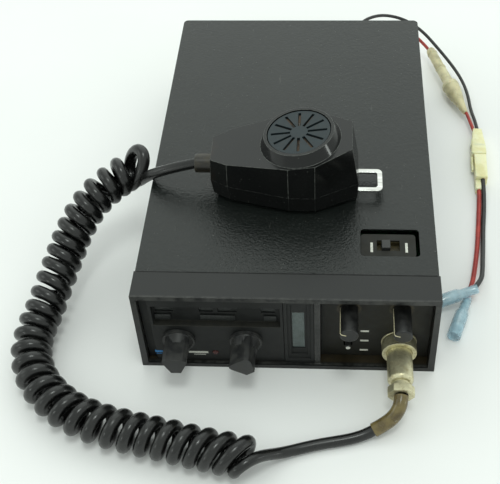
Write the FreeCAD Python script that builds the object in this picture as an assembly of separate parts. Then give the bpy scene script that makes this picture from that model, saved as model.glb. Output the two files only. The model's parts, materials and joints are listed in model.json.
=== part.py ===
"""Mobile two way radio with a hand microphone on a curly cord and a fused power lead.

Units are millimetres. X runs to the right, Y runs from the front panel to the rear, Z is up.
The origin is the centre of the case's base face.
"""
import FreeCAD, Part
import math
import os

Vec = FreeCAD.Vector

# Overall sizes of the case
case_width = 156.0
case_height = 58.0
case_depth = 236.0

# Clearances
seat_gap = 0.1          # between pieces that seat against each other
shaft_gap = 0.08        # radial, between a shaft and its bearing
travel_gap = 0.3        # between a moving piece and what it passes

# Bezel
bezel_depth = 16.8
bezel_wall = 3.0
bezel_floor = 2.5
hood_height = 3.0
bezel_flare = 0.6
bezel_lip_reach = 1.4
divider_width = 3.4
divider_from_centre = 14.6

# Covers and chassis
cover_step = 0.6
cover_sheet = 1.2
cover_corner = 3.0
cover_seam_height = 14.0
chassis_wall = 3.0
chassis_floor_height = 9.0
deck_height = 27.0
deck_sheet = 1.5
deck_setback = 26.0

# Selector panel, at the left of the bezel
selector_face_setback = 1.3
selector_plate = 6.0
selector_groove_width = 4.6
selector_groove_depth = 2.0
strip_height = 15.5
strip_depth = 3.6
strip_end_margin = 1.6
strip_below_top = 9.5
strip_lens_height = 6.0
strip_lens_drop = 2.0
strip_bar_height = 3.9
strip_bar_drop = 9.8
strip_bar_relief = 0.9

# Selector knobs
selector_pitch = 35.6
selector_below_strip = 11.2
selector_panel_offset = -3.15
knob_skirt_radius = 8.5
knob_skirt_thickness = 1.8
knob_length = 18.0
pointer_top = 5.7
pointer_half_width = 6.3
pointer_tip_half_width = 2.6
selector_shaft_radius = 3.0
selector_shaft_hole = 3.6
rotary_switch_radius = 11.0
rotary_switch_length = 18.0
rotary_switch_setback = 6.0
left_selector_turn = 0.0
right_selector_turn = 35.0
lamp_radius = 1.6
lamp_from_selectors = 0.7
lamp_below_selectors = 11.9

# Meter
meter_width = 15.6
meter_gap = 0.2
meter_step = 1.8
meter_step_depth = 1.0
meter_glass_width = 6.6
meter_glass_top_margin = 11.2
meter_glass_bottom_margin = 10.6
meter_glass_thickness = 1.0
meter_box_depth = 18.0
meter_pointer_length = 15.0
meter_pointer_rest = -24.0
meter_pivot_radius = 1.0

# Control panel, at the right of the bezel
control_face_setback = 6.5
control_plate = 2.0
control_column_pitch = 26.8
control_columns_offset = -0.7
control_knob_below_top = 14.8
control_knob_radius = 4.7
control_knob_length = 17.6
control_shaft_radius = 2.5
control_shaft_hole = 3.2
pot_radius = 7.0
pot_length = 11.0
mode_lever_height = 16.0
mode_lever_radius = 1.5
mode_lever_reach = 5.0
mode_pivot_depth = 6.0
mode_slot_half_height = 4.6

# Microphone connector
socket_height = 15.9
socket_radius = 7.5
socket_flange_radius = 9.4
socket_reach = 6.1
ring_radius = 9.1
ring_length = 7.0
barrel_radius = 6.65
barrel_length = 18.4
clamp_length = 7.0
clamp_neck_radius = 4.6

# Slide switch on the top cover
slide_from_right = 24.65
slide_from_front = 39.0
slide_window_length = 30.6
slide_window_width = 18.8
slide_plate_length = 28.6
slide_plate_width = 15.8
slide_plate_sheet = 1.0
slide_plate_drop = 0.8
slide_plate_shift_x = -0.9
slide_plate_shift_y = -1.3
slide_slot_length = 11.8
slide_slot_width = 7.0
slide_button_length = 4.6
slide_button_width = 5.6
slide_button_rise = 1.6
slide_travel = 3.6

# Rear
fin_count = 9
fin_thickness = 2.4
fin_depth = 8.0
sink_width = 62.0
sink_height = 42.0
sink_base = 3.5
sink_offset = -12.0
antenna_x = -60.0
antenna_z = 30.0
antenna_radius = 7.94
antenna_neck = 6.0
antenna_length = 13.0
antenna_flange = 25.0
jack_x = 41.0
jack_z = 14.0
jack_bore = 1.8
jack_body = 3.4
jack_length = 12.0
grommet_x = 31.0
grommet_z = 37.0
grommet_reach = 4.0
grommet_neck = 4.0

# Loudspeaker in the base
speaker_radius = 30.0
speaker_height = 14.0
speaker_from_front = 92.0
speaker_slot_count = 9
speaker_slot_width = 1.8
speaker_slot_pitch = 5.2

# Bracket holes and screws in the sides
bracket_hole_radius = 2.6
bracket_hole_height = 34.0
bracket_hole_from_front = 80.0
bracket_hole_spacing = 70.0
upper_screw_below_top = 11.0
lower_screw_height = 7.5
screw_head_radius = 3.0
screw_head_rise = 0.4
screw_shank_radius = 1.5

# Microphone: sizes run from the centre of its grille
mic_x = 6.0
mic_from_front = 80.3
mic_rest_gap = 0.3
mic_tail = 48.5
mic_nose = 31.0
mic_tail_shoulder = 39.0
mic_half_width = 23.3
mic_tail_half = 9.5
mic_shoulder_half = 15.0
mic_nose_half = 11.5
mic_flat_front = 6.0
mic_flat_rear = 8.0
mic_split_height = 13.0
mic_face_height = 33.7
mic_face_slope = 7.9
mic_face_inset = 1.8
mic_nose_slope = 5.0
mic_wall = 2.0
mic_bottom_inset = 3.0
grille_ring_base = 22.0
grille_ring_top = 18.8
grille_ring_height = 6.2
grille_radius = 16.6
grille_thickness = 1.6
grille_sink = 0.5
grille_slot_count = 12
grille_slot_width = 1.5
capsule_radius = 9.0
capsule_height = 8.0
boot_radius = 5.2
boot_length = 12.0
boot_reach = 9.5
boot_height = 16.3
hanger_length = 15.5
hanger_width = 17.0
hanger_strip = 2.8
hanger_sheet = 1.3
hanger_height = 5.0
hanger_reach = 13.2
hanger_offset = -1.4
ptt_length = 24.0
ptt_height = 9.0
ptt_proud = 2.4
ptt_travel = 1.6
ptt_depth = 6.0

# Cords
mic_cord_diameter = 5.8
coil_diameter = 22.0
sleeve_diameter = 7.4
lead_diameter = 2.2
tail_diameter = 2.8

# Route of the microphone cord from the boot to the start of the coil
mic_end_route = [(-51.0, -37.7, 74.3), (-61.0, -37.4, 71.2), (-70.0, -36.7, 67.4), (-77.3, -35.4, 63.2),
                 (-81.4, -32.2, 58.4), (-82.4, -28.0, 54.6)]
coil_route = [(-89.4, -23.7, 57.0), (-104.9, -31.5, 50.5), (-115.9, -41.8, 43.0), (-122.7, -53.1, 35.0),
              (-126.9, -65.1, 28.0), (-131.0, -78.8, 21.5), (-134.5, -94.4, 16.0), (-138.2, -108.4, 12.8),
              (-137.4, -123.6, 11.4), (-129.3, -139.9, 11.2), (-114.8, -153.4, 11.2), (-97.6, -162.0, 11.2),
              (-77.4, -167.2, 11.2), (-58.2, -171.1, 11.2), (-37.7, -175.9, 11.2), (-20.1, -179.0, 11.2)]
sleeve_route = [(59.3, -145.4, 15.9), (58.9, -149.6, 14.9), (56.2, -153.6, 11.0), (51.4, -156.4, 7.4),
                (45.4, -158.9, 5.0)]
plug_end_route = [(45.4, -158.9, 5.0), (40.0, -161.1, 3.3), (32.0, -163.6, 3.0), (20.0, -165.6, 3.0),
                  (8.0, -168.2, 3.0), (-5.0, -170.8, 3.4), (-19.0, -173.4, 5.2)]
black_lead_route = [(33.0, 122.0, 37.0), (38.0, 140.0, 39.0), (53.0, 155.0, 37.0), (70.0, 159.0, 32.0),
                    (84.0, 154.0, 25.0), (98.0, 141.0, 17.0), (110.0, 124.0, 9.5), (116.0, 104.0, 5.6),
                    (118.6, 87.0, 4.7), (119.2, 71.5, 4.8)]
red_lead_route = [(29.0, 122.0, 37.0), (32.5, 139.0, 35.5), (45.0, 153.5, 31.0), (61.0, 161.5, 25.5),
                  (77.5, 160.5, 18.5), (91.5, 148.5, 11.0)]
fused_lead_route = [(110.0, 92.0, 7.5), (113.2, 82.6, 6.4), (116.6, 71.5, 4.8)]
black_tail_route = [(116.7, 12.0, 4.8), (117.0, 0.0, 2.8), (116.4, -14.0, 1.6), (115.2, -29.0, 1.6),
                    (114.6, -44.0, 3.2), (114.3, -57.0, 6.8), (112.4, -68.0, 10.2), (106.8, -75.3, 11.4)]
red_tail_route = [(113.9, 12.0, 4.8), (113.9, 0.0, 2.8), (111.6, -14.0, 1.6), (109.6, -29.0, 1.6),
                  (107.3, -44.0, 1.6), (104.6, -58.0, 1.6), (101.0, -69.0, 2.5), (98.4, -75.8, 3.6)]

# Fuse holder, connector and bullet terminals on the power lead
fuse_cap_radius = 3.5
fuse_cap_length = 36.0
fuse_body_radius = 5.9
fuse_body_length = 17.0
connector_width = 9.6
connector_height = 8.8
connector_neck_width = 6.8
connector_neck_length = 11.0
connector_first_length = 29.0
connector_second_length = 30.4
terminal_crimp_radius = 2.3
terminal_crimp_length = 10.0
terminal_radius = 3.4
terminal_length = 26.0
terminal_bore = 2.6
terminal_bore_depth = 13.0
black_terminal_aim = (82.0, -81.5, 6.0)
red_terminal_aim = (89.6, -100.0, 3.5)
connector_top = (118.0, 71.5, 4.8)
connector_end = (115.2, 12.0, 4.8)

# Places worked out from the sizes above
front_y = -case_depth / 2
back_y = case_depth / 2
half_width = case_width / 2
inner_half_width = half_width - bezel_wall
hood_bottom = case_height - hood_height
cover_half_width = half_width - cover_step
cover_top = case_height - cover_step / 2
cover_front_y = front_y + bezel_depth + seat_gap
selector_face_y = front_y + selector_face_setback
control_face_y = front_y + control_face_setback
meter_right = divider_from_centre
meter_left = meter_right - meter_width
selector_left = -inner_half_width + seat_gap
selector_right = meter_left - meter_gap
control_left = divider_from_centre + divider_width
panel_bottom = bezel_floor + seat_gap
panel_top = hood_bottom - seat_gap
strip_left = selector_left + selector_groove_width + strip_end_margin
strip_right = selector_right - strip_end_margin
strip_top = case_height - strip_below_top
strip_bottom = strip_top - strip_height
selector_z = strip_bottom - selector_below_strip
selector_mid_x = (selector_left + selector_groove_width + selector_right) / 2 + selector_panel_offset
left_selector_x = selector_mid_x - selector_pitch / 2
right_selector_x = selector_mid_x + selector_pitch / 2
control_mid_x = (control_left + inner_half_width) / 2 + control_columns_offset
volume_x = control_mid_x - control_column_pitch / 2
squelch_x = control_mid_x + control_column_pitch / 2
control_knob_z = case_height - control_knob_below_top
slide_x = half_width - slide_from_right
slide_y = front_y + slide_from_front
slide_plate_x = slide_x + slide_plate_shift_x
slide_plate_y = slide_y + slide_plate_shift_y
slide_plate_top = cover_top - slide_plate_drop
chassis_half_width = cover_half_width - cover_sheet - seat_gap
chassis_front_y = cover_front_y + seat_gap
chassis_back_y = back_y - cover_sheet
chassis_top = cover_top - cover_sheet - seat_gap
bracket_y = [front_y + bracket_hole_from_front, front_y + bracket_hole_from_front + bracket_hole_spacing]
speaker_y = front_y + speaker_from_front
screw_y = [front_y + 36.0, back_y - 26.0]
screw_heights = [lower_screw_height, case_height - upper_screw_below_top]
lamp_x = selector_mid_x + lamp_from_selectors
lamp_z = selector_z - lamp_below_selectors
meter_mid_x = (meter_left + meter_right) / 2 - 0.4
meter_glass_span = (meter_mid_x - meter_glass_width / 2, meter_mid_x + meter_glass_width / 2)
meter_glass_bottom = panel_bottom + meter_glass_bottom_margin
meter_glass_top = panel_top - meter_glass_top_margin
meter_glass_y = selector_face_y - 0.4 + 2 * meter_step_depth + 0.6
meter_pivot_y = meter_glass_y + meter_glass_thickness + 1.2 + meter_pointer_length
meter_pivot_z = (panel_bottom + panel_top) / 2
mode_pivot_y = control_face_y + control_plate + mode_pivot_depth
socket_front_y = control_face_y - socket_reach
ring_front_y = socket_front_y - 0.9 - 1.2
ring_back_y = ring_front_y + ring_length
barrel_front_y = ring_front_y - barrel_length
clamp_front_y = barrel_front_y - clamp_length
slide_button_x = slide_plate_x - slide_slot_length / 2 + slide_button_length / 2 + 2.4
slide_body_top = slide_plate_top - slide_plate_sheet - seat_gap
mic_y = front_y + mic_from_front
mic_base_z = cover_top + mic_rest_gap
mic_face_normal = Vec(-math.sin(math.radians(mic_face_slope)), 0, math.cos(math.radians(mic_face_slope)))
mic_face_centre = Vec(mic_x, mic_y, mic_base_z + mic_face_height)
mic_top = mic_face_height + 12
hanger_base_z = mic_base_z + hanger_height
hanger_span = (mic_y + hanger_offset - hanger_width / 2, mic_y + hanger_offset + hanger_width / 2)


def box(x, y, z):
    """Box between pairs of low and high values."""
    return Part.makeBox(x[1] - x[0], y[1] - y[0], z[1] - z[0], Vec(x[0], y[0], z[0]))


def rod(axis, radius, centre, start, end):
    """Cylinder along the named axis; centre holds the other two places in axis order."""
    low = min(start, end)
    length = abs(end - start)
    if axis == "x":
        return Part.makeCylinder(radius, length, Vec(low, centre[0], centre[1]), Vec(1, 0, 0))
    if axis == "y":
        return Part.makeCylinder(radius, length, Vec(centre[0], low, centre[1]), Vec(0, 1, 0))
    return Part.makeCylinder(radius, length, Vec(centre[0], centre[1], low), Vec(0, 0, 1))


def prism(points, direction):
    """Flat outline pushed along a direction."""
    corners = [Vec(*point) for point in points]
    return Part.Face(Part.makePolygon(corners + corners[:1])).extrude(Vec(*direction))


def rounded_box(x, y, z, radius):
    """Box whose upright edges are rounded."""
    block = box(x, y, z)
    upright = [edge for edge in block.Edges if abs(edge.tangentAt(edge.FirstParameter).z) > 0.9]
    return block.makeFillet(radius, upright)


def join(shapes):
    """Solids fused into one."""
    return shapes[0].multiFuse(shapes[1:]).removeSplitter()


def group(shapes):
    """Separate solids kept in one shape."""
    return Part.makeCompound(shapes)


def loft(sections):
    """Ruled solid through closed polygons."""
    wires = []
    for points in sections:
        corners = [Vec(*point) for point in points]
        wires.append(Part.makePolygon(corners + corners[:1]))
    return Part.makeLoft(wires, True, True)


def cord(name, points, diameter):
    """Tube along straight runs joined by tangent arcs."""
    places = [Vec(*point) for point in points]
    edges = []
    start = places[0]
    radii = []
    for before, corner, after in zip(places, places[1:], places[2:]):
        incoming = (corner - before).normalize()
        outgoing = (after - corner).normalize()
        turn = incoming.getAngle(outgoing)
        shorter = min((corner - before).Length, (after - corner).Length)
        reach = 0.45 * shorter
        radii.append(reach / math.tan(turn / 2))
        arc_start = corner - incoming * reach
        arc_end = corner + outgoing * reach
        middle = corner + (outgoing - incoming).normalize() * (
            radii[-1] / math.cos(turn / 2) - radii[-1])
        edges.append(Part.LineSegment(start, arc_start).toShape())
        edges.append(Part.Arc(arc_start, middle, arc_end).toShape())
        start = arc_end
    edges.append(Part.LineSegment(start, places[-1]).toShape())
    path = Part.Wire(edges)
    first_run = places[1] - places[0]
    ring = Part.Wire(Part.makeCircle(diameter / 2, places[0], first_run))
    tube = path.makePipeShell([ring], True, False)
    section = math.pi * diameter ** 2 / 4
    print(f"{name}: length {path.Length:.1f}, radii {min(radii):.1f} to {max(radii):.1f},"
          f" volume ratio {tube.Volume / (section * path.Length):.3f}, low {tube.BoundBox.ZMin:.2f}")
    return tube


def follow(points, still, moved, across, along, up=0.0):
    """Route that keeps up with the case: the sideways move grows between two places in X."""
    places = []
    for x, y, z in points:
        share = min(1.0, max(0.0, (x - still) / (moved - still)))
        lift = up * min(1.0, max(0.0, (z - 20.0) / 35.0))
        places.append((x + across * share, y + along, z + lift))
    return places


# Growth of the case over the sizes that the routes were laid out for
wider = half_width - 78.0
front_out = -118.0 - front_y
back_out = back_y - 118.0
taller = cover_top - 57.7
socket_out = squelch_x - 59.2

mic_end_route = follow(mic_end_route, -51.0, -78.0, -wider, -front_out, taller)
coil_route = follow(coil_route, -20.0, -78.0, -wider, -front_out, taller)
plug_end_route = follow(plug_end_route, -19.0, 45.0, socket_out, -front_out)
sleeve_route = follow(sleeve_route, 40.0, 45.0, socket_out, -front_out)
black_lead_route = follow(black_lead_route, 33.0, 78.0, wider, back_out)
red_lead_route = follow(red_lead_route, 29.0, 76.0, wider, back_out)
fused_lead_route = follow(fused_lead_route, 33.0, 78.0, wider, back_out)
black_tail_route = follow(black_tail_route, 33.0, 78.0, wider, back_out)
red_tail_route = follow(red_tail_route, 33.0, 78.0, wider, back_out)
black_terminal_aim, red_terminal_aim, connector_top, connector_end = follow(
    [black_terminal_aim, red_terminal_aim, connector_top, connector_end], 33.0, 78.0, wider, back_out)
fuse_total = (Vec(*fused_lead_route[0]) - Vec(*red_lead_route[-1])).Length


# ---------------------------------------------------------------- bezel and panels

def front_bezel():
    """Moulded front frame: it widens a little towards its lower lip, with a divider beside the meter."""
    rear = front_y + bezel_depth
    outlines = []
    for z, spread, reach in ((0, bezel_flare, bezel_lip_reach), (hood_bottom, 0, 0)):
        side = half_width + spread
        front = front_y - reach
        outlines.append([(-side, front, z), (side, front, z), (side, rear, z), (-side, rear, z)])
    hood = box((-half_width, half_width), (front_y, rear), (hood_bottom, case_height))
    opening = box((-inner_half_width, inner_half_width), (front_y - 5, rear + 1), (bezel_floor, hood_bottom))
    frame = join([loft(outlines), hood]).cut(opening)
    divider = box((divider_from_centre + seat_gap, control_left - seat_gap),
                  (front_y + 0.6, rear - bezel_wall), (0.5, hood_bottom + 0.5))
    return join([frame, divider])


def strip_windows():
    """X spans of the four small windows in the upper row of the strip."""
    return [(strip_left + start, strip_left + end) for start, end in
            ((0.8, 10.4), (24.0, 31.2), (33.8, 43.6), (56.0, 63.2))]


def strip_bars():
    """X spans of the raised bars in the lower row of the strip."""
    return [(strip_left + start, strip_left + end) for start, end in ((0.6, 9.0), (24.4, 42.4), (57.4, 63.8))]


def selector_panel():
    """Left panel with the window strip, the shaft holes and the lamp hole."""
    back = selector_face_y + selector_plate
    plate = box((selector_left, selector_right), (selector_face_y, back), (panel_bottom, panel_top))
    groove = box((selector_left - 1, selector_left + selector_groove_width),
                 (selector_face_y - 1, selector_face_y + selector_groove_depth),
                 (panel_bottom - 1, panel_top + 1))
    strip = box((strip_left, strip_right), (selector_face_y - 1, selector_face_y + strip_depth),
                (strip_bottom, strip_top))
    plate = plate.cut(groove).cut(strip)
    for span in strip_windows():
        plate = plate.cut(box(span, (selector_face_y, back + 1),
                              (strip_top - strip_lens_drop - strip_lens_height, strip_top - strip_lens_drop)))
    for x in (left_selector_x, right_selector_x):
        plate = plate.cut(rod("y", selector_shaft_hole, (x, selector_z), front_y - 1, back + 1))
    return plate.cut(rod("y", lamp_radius + seat_gap, (lamp_x, lamp_z), front_y - 1, back + 1))


def window_lenses():
    """Clear inserts in the four strip windows."""
    top = strip_top - strip_lens_drop - seat_gap
    return group([box((left + seat_gap, right - seat_gap),
                      (selector_face_y + strip_depth + 0.6, selector_face_y + strip_depth + 1.8),
                      (top - strip_lens_height + 2 * seat_gap, top)) for left, right in strip_windows()])


def strip_label_bars():
    """Raised label bars that stand on the strip's back wall."""
    wall = selector_face_y + strip_depth
    top = strip_top - strip_bar_drop
    return group([box(span, (wall - strip_bar_relief, wall), (top - strip_bar_height, top))
                  for span in strip_bars()])


def transmit_lamp():
    """Small round lamp with a domed front."""
    body = rod("y", lamp_radius, (lamp_x, lamp_z), selector_face_y - 0.4, selector_face_y + 8)
    front = [edge for edge in body.Edges if edge.BoundBox.YMax < selector_face_y]
    return body.makeFillet(0.35, front)


def meter_frame():
    """Stepped rectangular frame round the meter's glass."""
    face = selector_face_y - 0.4
    frame = box((meter_left, meter_right), (face, selector_face_y + selector_plate),
                (panel_bottom, panel_top))
    for step in (1, 2):
        inset = step * meter_step
        frame = frame.cut(box((meter_left + inset, meter_right - inset),
                              (face - 1, face + step * meter_step_depth),
                              (panel_bottom + inset * 1.6, panel_top - inset)))
    window = box(meter_glass_span, (face - 1, selector_face_y + selector_plate + 1),
                 (meter_glass_bottom, meter_glass_top))
    return frame.cut(window)


def meter_glass():
    """Clear window of the meter."""
    return box((meter_glass_span[0] + seat_gap, meter_glass_span[1] - seat_gap),
               (meter_glass_y, meter_glass_y + meter_glass_thickness),
               (meter_glass_bottom + seat_gap, meter_glass_top - seat_gap))


def meter_movement():
    """Meter movement: a slotted block with the pointer's pivot pin across its slot."""
    start = selector_face_y + selector_plate + seat_gap
    block = box((meter_left + 0.5, meter_right - 0.5), (start, start + meter_box_depth),
                (panel_bottom + 4, panel_top - 4))
    slot = box((meter_mid_x - 1.6, meter_mid_x + 1.6), (start - 1, meter_pivot_y + 4),
               (panel_bottom + 5, panel_top - 5))
    pin = rod("x", meter_pivot_radius, (meter_pivot_y, meter_pivot_z), meter_mid_x - 2, meter_mid_x + 2)
    return join([block.cut(slot), pin])


def meter_pointer():
    """Pointer that swings up and down behind the glass."""
    pivot = (meter_pivot_y, meter_pivot_z)
    hub = rod("x", meter_pivot_radius + 1.2, pivot, meter_mid_x - 0.8, meter_mid_x + 0.8)
    arm = box((meter_mid_x - 0.3, meter_mid_x + 0.3), (meter_pivot_y - meter_pointer_length, meter_pivot_y),
              (meter_pivot_z - 0.4, meter_pivot_z + 0.4))
    bore = rod("x", meter_pivot_radius + shaft_gap, pivot, meter_mid_x - 3, meter_mid_x + 3)
    pointer = join([hub, arm]).cut(bore)
    pointer.rotate(Vec(meter_mid_x, meter_pivot_y, meter_pivot_z), Vec(1, 0, 0), -meter_pointer_rest)
    return pointer


def control_panel():
    """Right panel with holes for the knobs, the lever and the microphone socket."""
    back = control_face_y + control_plate
    plate = box((control_left + seat_gap, inner_half_width - seat_gap), (control_face_y, back),
                (panel_bottom, panel_top))
    for x in (volume_x, squelch_x):
        plate = plate.cut(rod("y", control_shaft_hole, (x, control_knob_z), front_y, back + 1))
    plate = plate.cut(rod("y", socket_radius + seat_gap, (squelch_x, socket_height), front_y, back + 1))
    slot_half_width = mode_lever_radius + 0.8
    slot = box((volume_x - slot_half_width, volume_x + slot_half_width), (front_y, back + 1),
               (mode_lever_height - mode_slot_half_height, mode_lever_height + mode_slot_half_height))
    return plate.cut(slot)


# ---------------------------------------------------------------- knobs, shafts and switches

def selector_knob(x, turn):
    """Pointer knob on a round skirt."""
    skirt_back = selector_face_y - travel_gap
    nose = selector_face_y - knob_length
    skirt = rod("y", knob_skirt_radius, (x, selector_z), skirt_back - knob_skirt_thickness, skirt_back)
    outline = [(-4.4, pointer_top), (4.4, pointer_top), (pointer_half_width, pointer_top - 1.5),
               (pointer_half_width, pointer_top - 3.2), (pointer_tip_half_width, -pointer_top),
               (-pointer_tip_half_width, -pointer_top), (-pointer_half_width, pointer_top - 3.2),
               (-pointer_half_width, pointer_top - 1.5)]
    grip = prism([(x + across, nose, selector_z + up) for across, up in outline],
                 (0, skirt_back - 0.5 - nose, 0))
    collar = Part.makeCone(knob_skirt_radius - 0.9, knob_skirt_radius - 2.4, 5.0,
                           Vec(x, skirt_back - knob_skirt_thickness + 0.3, selector_z), Vec(0, -1, 0))
    knob = join([skirt, grip, collar])
    knob.rotate(Vec(x, 0, selector_z), Vec(0, -1, 0), turn)
    return knob.cut(rod("y", selector_shaft_radius + shaft_gap, (x, selector_z), nose + 3, skirt_back + 1))


def selector_shaft(x):
    """Shaft from the knob into the rotary switch."""
    return rod("y", selector_shaft_radius, (x, selector_z), selector_face_y - knob_length + 3.2,
               selector_face_y + rotary_switch_setback + rotary_switch_length - 2)


def rotary_switches():
    """Two rotary switch bodies behind the selector panel."""
    start = selector_face_y + rotary_switch_setback + seat_gap
    bodies = []
    for x in (left_selector_x, right_selector_x):
        body = rod("y", rotary_switch_radius, (x, selector_z + 1.5), start, start + rotary_switch_length)
        bodies.append(body.cut(rod("y", selector_shaft_radius + shaft_gap, (x, selector_z), start - 1,
                                   start + rotary_switch_length - 1)))
    return group(bodies)


def control_knob(x):
    """Plain round knob with a rounded nose."""
    back = control_face_y - travel_gap
    nose = control_face_y - control_knob_length
    knob = rod("y", control_knob_radius, (x, control_knob_z), nose, back)
    rim = [edge for edge in knob.Edges if edge.BoundBox.YMax < nose + 0.1]
    knob = knob.makeFillet(0.8, rim)
    return knob.cut(rod("y", control_shaft_radius + shaft_gap, (x, control_knob_z), nose + 3, back + 1))


def control_shaft(x):
    """Shaft of one potentiometer."""
    return rod("y", control_shaft_radius, (x, control_knob_z), control_face_y - control_knob_length + 3.2,
               control_face_y + control_plate + pot_length - 2)


def control_pots():
    """Two potentiometer bodies behind the control panel."""
    start = control_face_y + control_plate + seat_gap
    bodies = []
    for x in (volume_x, squelch_x):
        body = rod("y", pot_radius, (x, control_knob_z), start, start + pot_length)
        bodies.append(body.cut(rod("y", control_shaft_radius + shaft_gap, (x, control_knob_z), start - 1,
                                   start + pot_length - 1)))
    return group(bodies)


def mode_lever():
    """Short lever that rocks up and down through the slot in the control panel."""
    stem = rod("y", mode_lever_radius, (volume_x, mode_lever_height),
               control_face_y - mode_lever_reach, mode_pivot_y)
    tip = [edge for edge in stem.Edges if edge.BoundBox.YMax < control_face_y]
    stem = stem.makeFillet(0.7, tip)
    ball = Part.makeSphere(mode_lever_radius + 0.9, Vec(volume_x, mode_pivot_y, mode_lever_height))
    bore = rod("x", 0.8 + shaft_gap, (mode_pivot_y, mode_lever_height), volume_x - 5, volume_x + 5)
    return join([stem, ball]).cut(bore)


def mode_switch_body():
    """Switch box with a pin that the lever turns on."""
    start = control_face_y + control_plate + seat_gap
    body = box((volume_x - 5, volume_x + 5), (start, start + 14),
               (mode_lever_height - 7, mode_lever_height + 7))
    room = box((volume_x - 3, volume_x + 3), (start - 1, start + 10),
               (mode_lever_height - 5, mode_lever_height + 5))
    pin = rod("x", 0.8, (mode_pivot_y, mode_lever_height), volume_x - 4, volume_x + 4)
    return join([body.cut(room), pin])


# ---------------------------------------------------------------- microphone connector

def socket_rod(radius, start, end):
    """Cylinder on the microphone socket's line."""
    return rod("y", radius, (squelch_x, socket_height), start, end)


def mic_socket():
    """Panel socket with a flange and a threaded nose."""
    flange = socket_rod(socket_flange_radius, control_face_y - 1.0, control_face_y)
    nose = socket_rod(socket_radius, socket_front_y, control_face_y + control_plate + 8)
    return join([flange, nose])


def plug_ring():
    """Coupling ring that turns on the plug and screws onto the socket."""
    ring = socket_rod(ring_radius, ring_front_y, ring_back_y)
    thread = socket_rod(socket_radius + shaft_gap, ring_front_y + 1.1, ring_back_y + 1)
    waist = socket_rod(barrel_radius + shaft_gap, ring_front_y - 1, ring_back_y)
    return ring.cut(thread).cut(waist)


def plug_barrel():
    """Plug body with a shoulder inside the ring and a rounded outer end."""
    shoulder = socket_rod(socket_radius - 0.1, ring_front_y + 1.2, socket_front_y - 0.1)
    barrel = socket_rod(barrel_radius, barrel_front_y, socket_front_y - 0.1)
    rim = [edge for edge in barrel.Edges if edge.BoundBox.YMax < barrel_front_y + 0.1]
    barrel = barrel.makeFillet(2.4, rim)
    hollow = socket_rod(mic_cord_diameter / 2 + 0.6, barrel_front_y - 1, barrel_front_y + 10)
    return join([shoulder, barrel]).cut(hollow)


def plug_clamp():
    """Cable clamp: a neck and a two-sided saddle."""
    neck = socket_rod(clamp_neck_radius, barrel_front_y - 3.5, barrel_front_y - seat_gap)
    outline = ((-6.8, -1.6), (-4.0, -5.0), (4.0, -5.0), (6.8, -1.6), (6.8, 1.6), (4.0, 5.0), (-4.0, 5.0),
               (-6.8, 1.6))
    saddle = prism([(squelch_x + across, clamp_front_y, socket_height + up) for across, up in outline],
                   (0, clamp_length - 2.8, 0))
    clamp = join([neck, saddle])
    return clamp.cut(socket_rod(mic_cord_diameter / 2 + 0.6, clamp_front_y - 1, barrel_front_y + 1))


# ---------------------------------------------------------------- covers, chassis and inside

def cover_shell(low, high, roof):
    """Half of the casing: two sides and a roof or a floor."""
    inside = cover_half_width - cover_sheet
    outer = rounded_box((-cover_half_width, cover_half_width), (cover_front_y, back_y), (0, cover_top),
                        cover_corner)
    inner = box((-inside, inside), (cover_front_y - 1, back_y + 1), (cover_sheet, cover_top - cover_sheet))
    keep = box((-half_width, half_width), (front_y, back_y + 1), (low, high))
    shell = outer.cut(inner).common(keep)
    front_end = (cover_front_y, cover_front_y + cover_corner)
    front_square = box((-cover_half_width, cover_half_width), front_end, roof)
    sides = [box(span, front_end, (low, high))
             for span in ((-cover_half_width, -inside), (inside, cover_half_width))]
    return join([shell, front_square] + sides)


def side_holes(shape, heights, radius):
    """Holes across both sides for the cover screws."""
    for height in heights:
        for y in screw_y:
            shape = shape.cut(rod("x", radius, (y, height), -half_width - 5, half_width + 5))
    return shape


def top_cover():
    """Upper cover with the slide switch's window and the bracket holes."""
    cover = cover_shell(cover_seam_height, cover_top, (cover_top - cover_sheet, cover_top))
    window = rounded_box((slide_x - slide_window_length / 2, slide_x + slide_window_length / 2),
                         (slide_y - slide_window_width / 2, slide_y + slide_window_width / 2),
                         (cover_top - 5, cover_top + 5), 2.0)
    cover = cover.cut(window)
    for y in bracket_y:
        cover = cover.cut(rod("x", bracket_hole_radius, (y, bracket_hole_height),
                              -half_width - 5, half_width + 5))
    return side_holes(cover, screw_heights[1:], screw_shank_radius + seat_gap)


def bottom_cover():
    """Lower cover with the loudspeaker's slots."""
    cover = cover_shell(0, cover_seam_height - seat_gap, (0, cover_sheet))
    reach = (speaker_slot_count - 1) / 2
    for index in range(speaker_slot_count):
        offset = (index - reach) * speaker_slot_pitch
        half_length = math.sqrt((speaker_radius - 3) ** 2 - offset ** 2)
        near = speaker_y + offset - speaker_slot_width / 2
        cover = cover.cut(box((-half_length, half_length), (near, near + speaker_slot_width),
                              (-1, cover_sheet + 1)))
    return side_holes(cover, screw_heights[:1], screw_shank_radius + seat_gap)


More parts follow.
